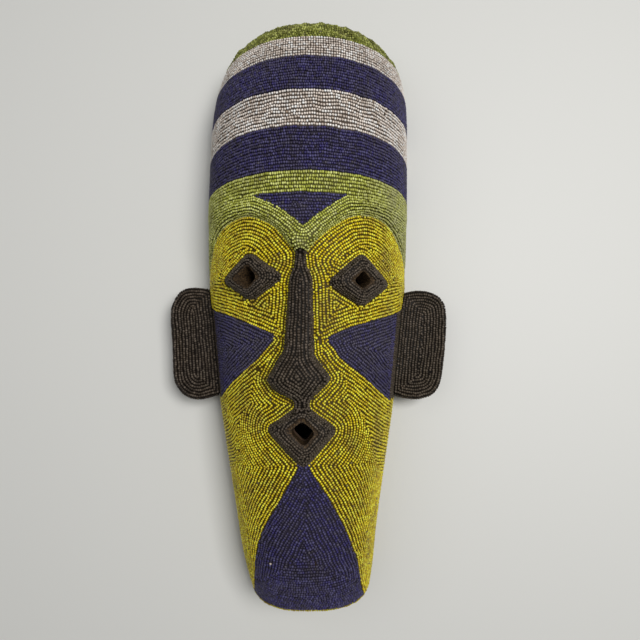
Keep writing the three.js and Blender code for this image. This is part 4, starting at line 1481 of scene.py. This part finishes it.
SIDE_WALL, FOREHEAD_WALL, CROWN_WALL, CHIN_WALL = 9.0, 13.0, 11.0, 10.0
hollow_crest = smooth_curve([
    (-243, 55), (-237, 61), (-214, 73), (-170, 81), (-115, 86), (-60, 88.5), (-10, 91.5), (20, 93), (60, 97)])
HOLLOW_MESH, HOLLOW_COLUMNS = 3.4, 75
DOME_ROWS, DOME_CROWDING = 40, 2.4
BELOW_THE_RIM = -2.0
GOUGE_DEPTH, GOUGE_LENGTH, GOUGE_WIDTH = 1.1, 17.0, 9.5
GOUGE_STRAY, GOUGE_REACH = 0.3, 0.45


def gouged(points):
    """Shallow scoops of a gouge over a grid of points, as depths."""
    along, girth = points[..., 1], np.zeros(points.shape[:2])
    girth[:, 1:] = np.cumsum(np.linalg.norm(np.diff(points, axis=1), axis=2), axis=1)
    girth -= girth[:, -1:] / 2
    u, v = along / GOUGE_LENGTH, girth / GOUGE_WIDTH
    best = np.full(u.shape, np.inf)
    for i in range(int(u.min()) - 2, int(u.max()) + 3):
        for j in range(int(v.min()) - 2, int(v.max()) + 3):
            du, dv = rng.uniform(-GOUGE_STRAY, GOUGE_STRAY, 2)
            near = (u - i - du) ** 2 + (v - j - dv - 0.5 * (i % 2)) ** 2
            np.minimum(best, near, out=best)
    return GOUGE_DEPTH * (1 - np.minimum(best / GOUGE_REACH, 1))


def hollow_log():
    """The inside of the mask with its tool marks."""
    crown_end = HALF_LENGTH - CROWN_WALL
    share = 1 - np.linspace(1, 0, DOME_ROWS) ** DOME_CROWDING
    stations = np.concatenate([np.arange(CHIN_WALL - HALF_LENGTH, CROWN_STARTS - 1, HOLLOW_MESH),
                               CROWN_STARTS + share[:-1] * (crown_end - CROWN_STARTS)])
    y, angle = np.meshgrid(stations, np.linspace(-math.pi / 2, math.pi / 2, HOLLOW_COLUMNS), indexing="ij")
    share = np.clip((y - CROWN_STARTS) / (crown_end - CROWN_STARTS), 0, 1)
    dome_crest = (FOREHEAD_HEIGHT - FOREHEAD_WALL) * rounded_off(share, DOME_PROFILE)
    dome_half = (face_half_width(CROWN_STARTS) - SIDE_WALL) * rounded_off(share, DOME_PLAN)
    in_dome = y > CROWN_STARTS
    crest = np.where(in_dome, dome_crest, hollow_crest(y))
    half = np.where(in_dome, dome_half, face_half_width(y) - SIDE_WALL)
    x = middle_line(y) + half * across_share(angle, y)
    points = np.stack([x, y, crest * np.cos(angle)], -1)
    normals = unit(np.cross(np.gradient(points, axis=1), np.gradient(points, axis=0)))
    depth = gouged(points)
    depth[:, :2] = depth[:, -2:] = 0
    return log_solid("hollow", points + normals * depth[..., None], BELOW_THE_RIM, wood)


HOLE_DEPTHS = (-45.0, -9.0, 0.5, 30.0)
EAR_FOOT_ROUND, EAR_TOP_ROUND, EAR_TOP_INSET = 1.2, 0.6, 0.4


def leaning_hole(shape):
    """A pierced hole that leans with the face and opens wider at the front."""
    hole, wide = anticlockwise(shape.hole), anticlockwise(shape.mouth)
    centre = (hole.max(0) + hole.min(0)) / 2
    top = float(height_on(face_section, *centre, shape.rise))
    cosine, sine = math.cos(shape.lean), math.sin(shape.lean)
    rings = []
    for loop, depth in zip((hole, hole, wide, wide), HOLE_DEPTHS):
        x, y = (loop[:, 0] - centre[0]) * cosine, loop[:, 1] - centre[1]
        rings.append(np.column_stack([
            centre[0] + x * cosine + depth * sine, centre[1] + y, top - x * sine + depth * cosine]))
    return rings_solid("hole", rings, wood)


def ear_block(loop):
    """A flat ear with its skin of glue and rounded edges."""
    loop = anticlockwise(loop)
    wide, narrow = inset_loop(loop, -GLUE_LIFT), inset_loop(loop, EAR_TOP_INSET)
    levels = ((loop, EAR_UNDERSIDE), (wide, EAR_UNDERSIDE + EAR_FOOT_ROUND), (wide, EAR_TOP - EAR_TOP_ROUND),
              (narrow, EAR_TOP + GLUE_LIFT))
    return rings_solid("ear", [np.column_stack([line, np.full(len(line), z)]) for line, z in levels], glue)


def glue_at(x, y, z):
    """The value that picks the glue's colour by the kind of beads over each point."""
    value = np.full(len(x), YELLOW.glue)
    for loop in (cheek_left_loop, cheek_right_loop, chin_loop, triangle_loop):
        value[inside(x, y, loop)] = BLUE.glue
    value[inside(x, y, brow_loop) & ~inside(x, y, triangle_loop)] = GREEN.glue
    for _, low, high, _, kind, *_ in STRIPES:
        value[(y > low) & (y < high)] = kind.glue
    for shape in FRAMES:
        value[inside(x, y, shape.foot)] = DARK.glue
    value[inside(x, y, nose_loop) & (y < NOSE_ROOT)] = DARK.glue
    for loop in (ear_left_loop, ear_right_loop):
        value[(z < EAR_TOP + 2) & inside(x, y, inset_loop(loop, -2.0))] = DARK.glue
    return value


def cut_wood():
    """The log with both ears joined on, and the hollow and the three holes cut out."""
    body = outer_log()
    steps = [(ear_block(loop), "UNION") for loop in (ear_left_loop, ear_right_loop)]
    steps += [(tool, "DIFFERENCE") for tool in (hollow_log(), *map(leaning_hole, FRAMES))]
    for tool, operation in steps:
        cut = body.modifiers.new(operation, "BOOLEAN")
        cut.operation = operation
        cut.object = tool
        cut.solver = "MANIFOLD"
    bpy.context.view_layer.update()
    whole = body.evaluated_get(bpy.context.evaluated_depsgraph_get())
    mesh = bpy.data.meshes.new_from_object(whole)
    body.modifiers.clear()
    body.data = mesh
    for tool, _ in steps:
        bpy.data.objects.remove(tool)
    return body


UPRIGHT = 0.02
ROUND_THE_HOLE = 8.0
HOLE_WALL = 0.6
FRONT_OF_FRAMES = 80
CROWN_WEIGHT = 0.3
SHARP_ANGLE = 50


def finish_wood(mesh):
    """Bare wood inside and under the mask, glue outside, each with its colours and smooth faces."""
    if wood.name not in mesh.materials:
        mesh.materials.append(wood)
    wood_index = list(mesh.materials).index(wood)
    x, y, z = read_vectors(mesh.polygons, "center") / MM
    nx, ny, nz = read_vectors(mesh.polygons, "normal")
    bare_wood = (nz < -UPRIGHT) | ((np.abs(nz) <= UPRIGHT) & (x * nx + CROWN_WEIGHT * y * ny < 0))
    for shape in FRAMES:
        bare_wood &= ~(inside(x, y, inset_loop(shape.bare, -ROUND_THE_HOLE)) & (np.abs(nz) < HOLE_WALL))
    mesh.polygons.foreach_set("material_index", np.where(bare_wood, wood_index, 0).astype(np.int32))
    add_values(mesh, "field", glue_at(x, y, z), "FACE")
    corners = read_vectors(mesh.vertices, "co") / MM
    x, y, z = corners
    bare = np.zeros(len(x), bool)
    for shape in FRAMES:
        bare |= inside(x, y, shape.bare) & (z > FRONT_OF_FRAMES)
    for place, reach in MISSING_SPOTS:
        bare |= np.linalg.norm(corners.T - place, axis=1) < reach + 1
    add_values(mesh, "bare", bare)
    mesh.polygons.foreach_set("use_smooth", np.ones(len(mesh.polygons), bool))
    mesh.set_sharp_from_angle(angle=math.radians(SHARP_ANGLE))


body = cut_wood()
finish_wood(body.data)
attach(body, "root")
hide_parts("wooden_mask")

# Floor, light and camera

FLOOR_HALF, FLOOR_LEVEL = 3000.0, -0.2
FLOOR_COLOUR = (0.60, 0.595, 0.565)


def floor():
    """A plain pale floor, a hair below the rim."""
    corners = [(-FLOOR_HALF, -FLOOR_HALF), (FLOOR_HALF, -FLOOR_HALF), (FLOOR_HALF, FLOOR_HALF),
               (-FLOOR_HALF, FLOOR_HALF)]
    material, tree, shader = new_material("pale_floor")
    feed(tree, shader.inputs["Base Color"], FLOOR_COLOUR)
    feed(tree, shader.inputs["Roughness"], 0.6)
    points = np.array([(*corner, FLOOR_LEVEL) for corner in corners])
    obj = add_solid("floor", points, [(0, 1, 2, 3)], material)


def soft_light(name, place, size, power):
    """A square softbox, placed in metres, that faces the middle of the mask."""
    data = bpy.data.lights.new(name, "AREA")
    data.shape = "RECTANGLE"
    data.size = data.size_y = size
    data.energy = power
    obj = add_object(name, data)
    obj.location = place
    obj.rotation_euler = (Vector((0, 0, 0.05)) - Vector(place)).to_track_quat("-Z", "Y").to_euler()


floor()
soft_light("key_softbox", (0.54, 0.2, 1.4), 0.6, 20)
soft_light("fill_softbox", (-0.7, 0.25, 1.1), 0.9, 3)
world = bpy.data.worlds.new("soft_world")
bpy.context.scene.world = world
world.use_nodes = True
background = world.node_tree.nodes["Background"]
background.inputs["Color"].default_value = (0.92, 0.94, 0.96, 1)
background.inputs["Strength"].default_value = 0.2

FOCAL_PIXELS = 481.0
IMAGE_PIXELS = 640
SENSOR = 36.0
CAMERA_TILT = 4.195
CAMERA_PLACE = (10.6, -49.2, 465.6)

camera_data = bpy.data.cameras.new("photo_camera")
camera_data.sensor_width = SENSOR
camera_data.lens = SENSOR * FOCAL_PIXELS / IMAGE_PIXELS
camera_data.clip_start = 0.01
camera = add_object("photo_camera", camera_data)
camera.location = Vector(CAMERA_PLACE) * MM
camera.rotation_euler = (math.radians(CAMERA_TILT), 0, 0)
bpy.context.scene.camera = camera
bpy.context.scene.view_settings.view_transform = "Standard"
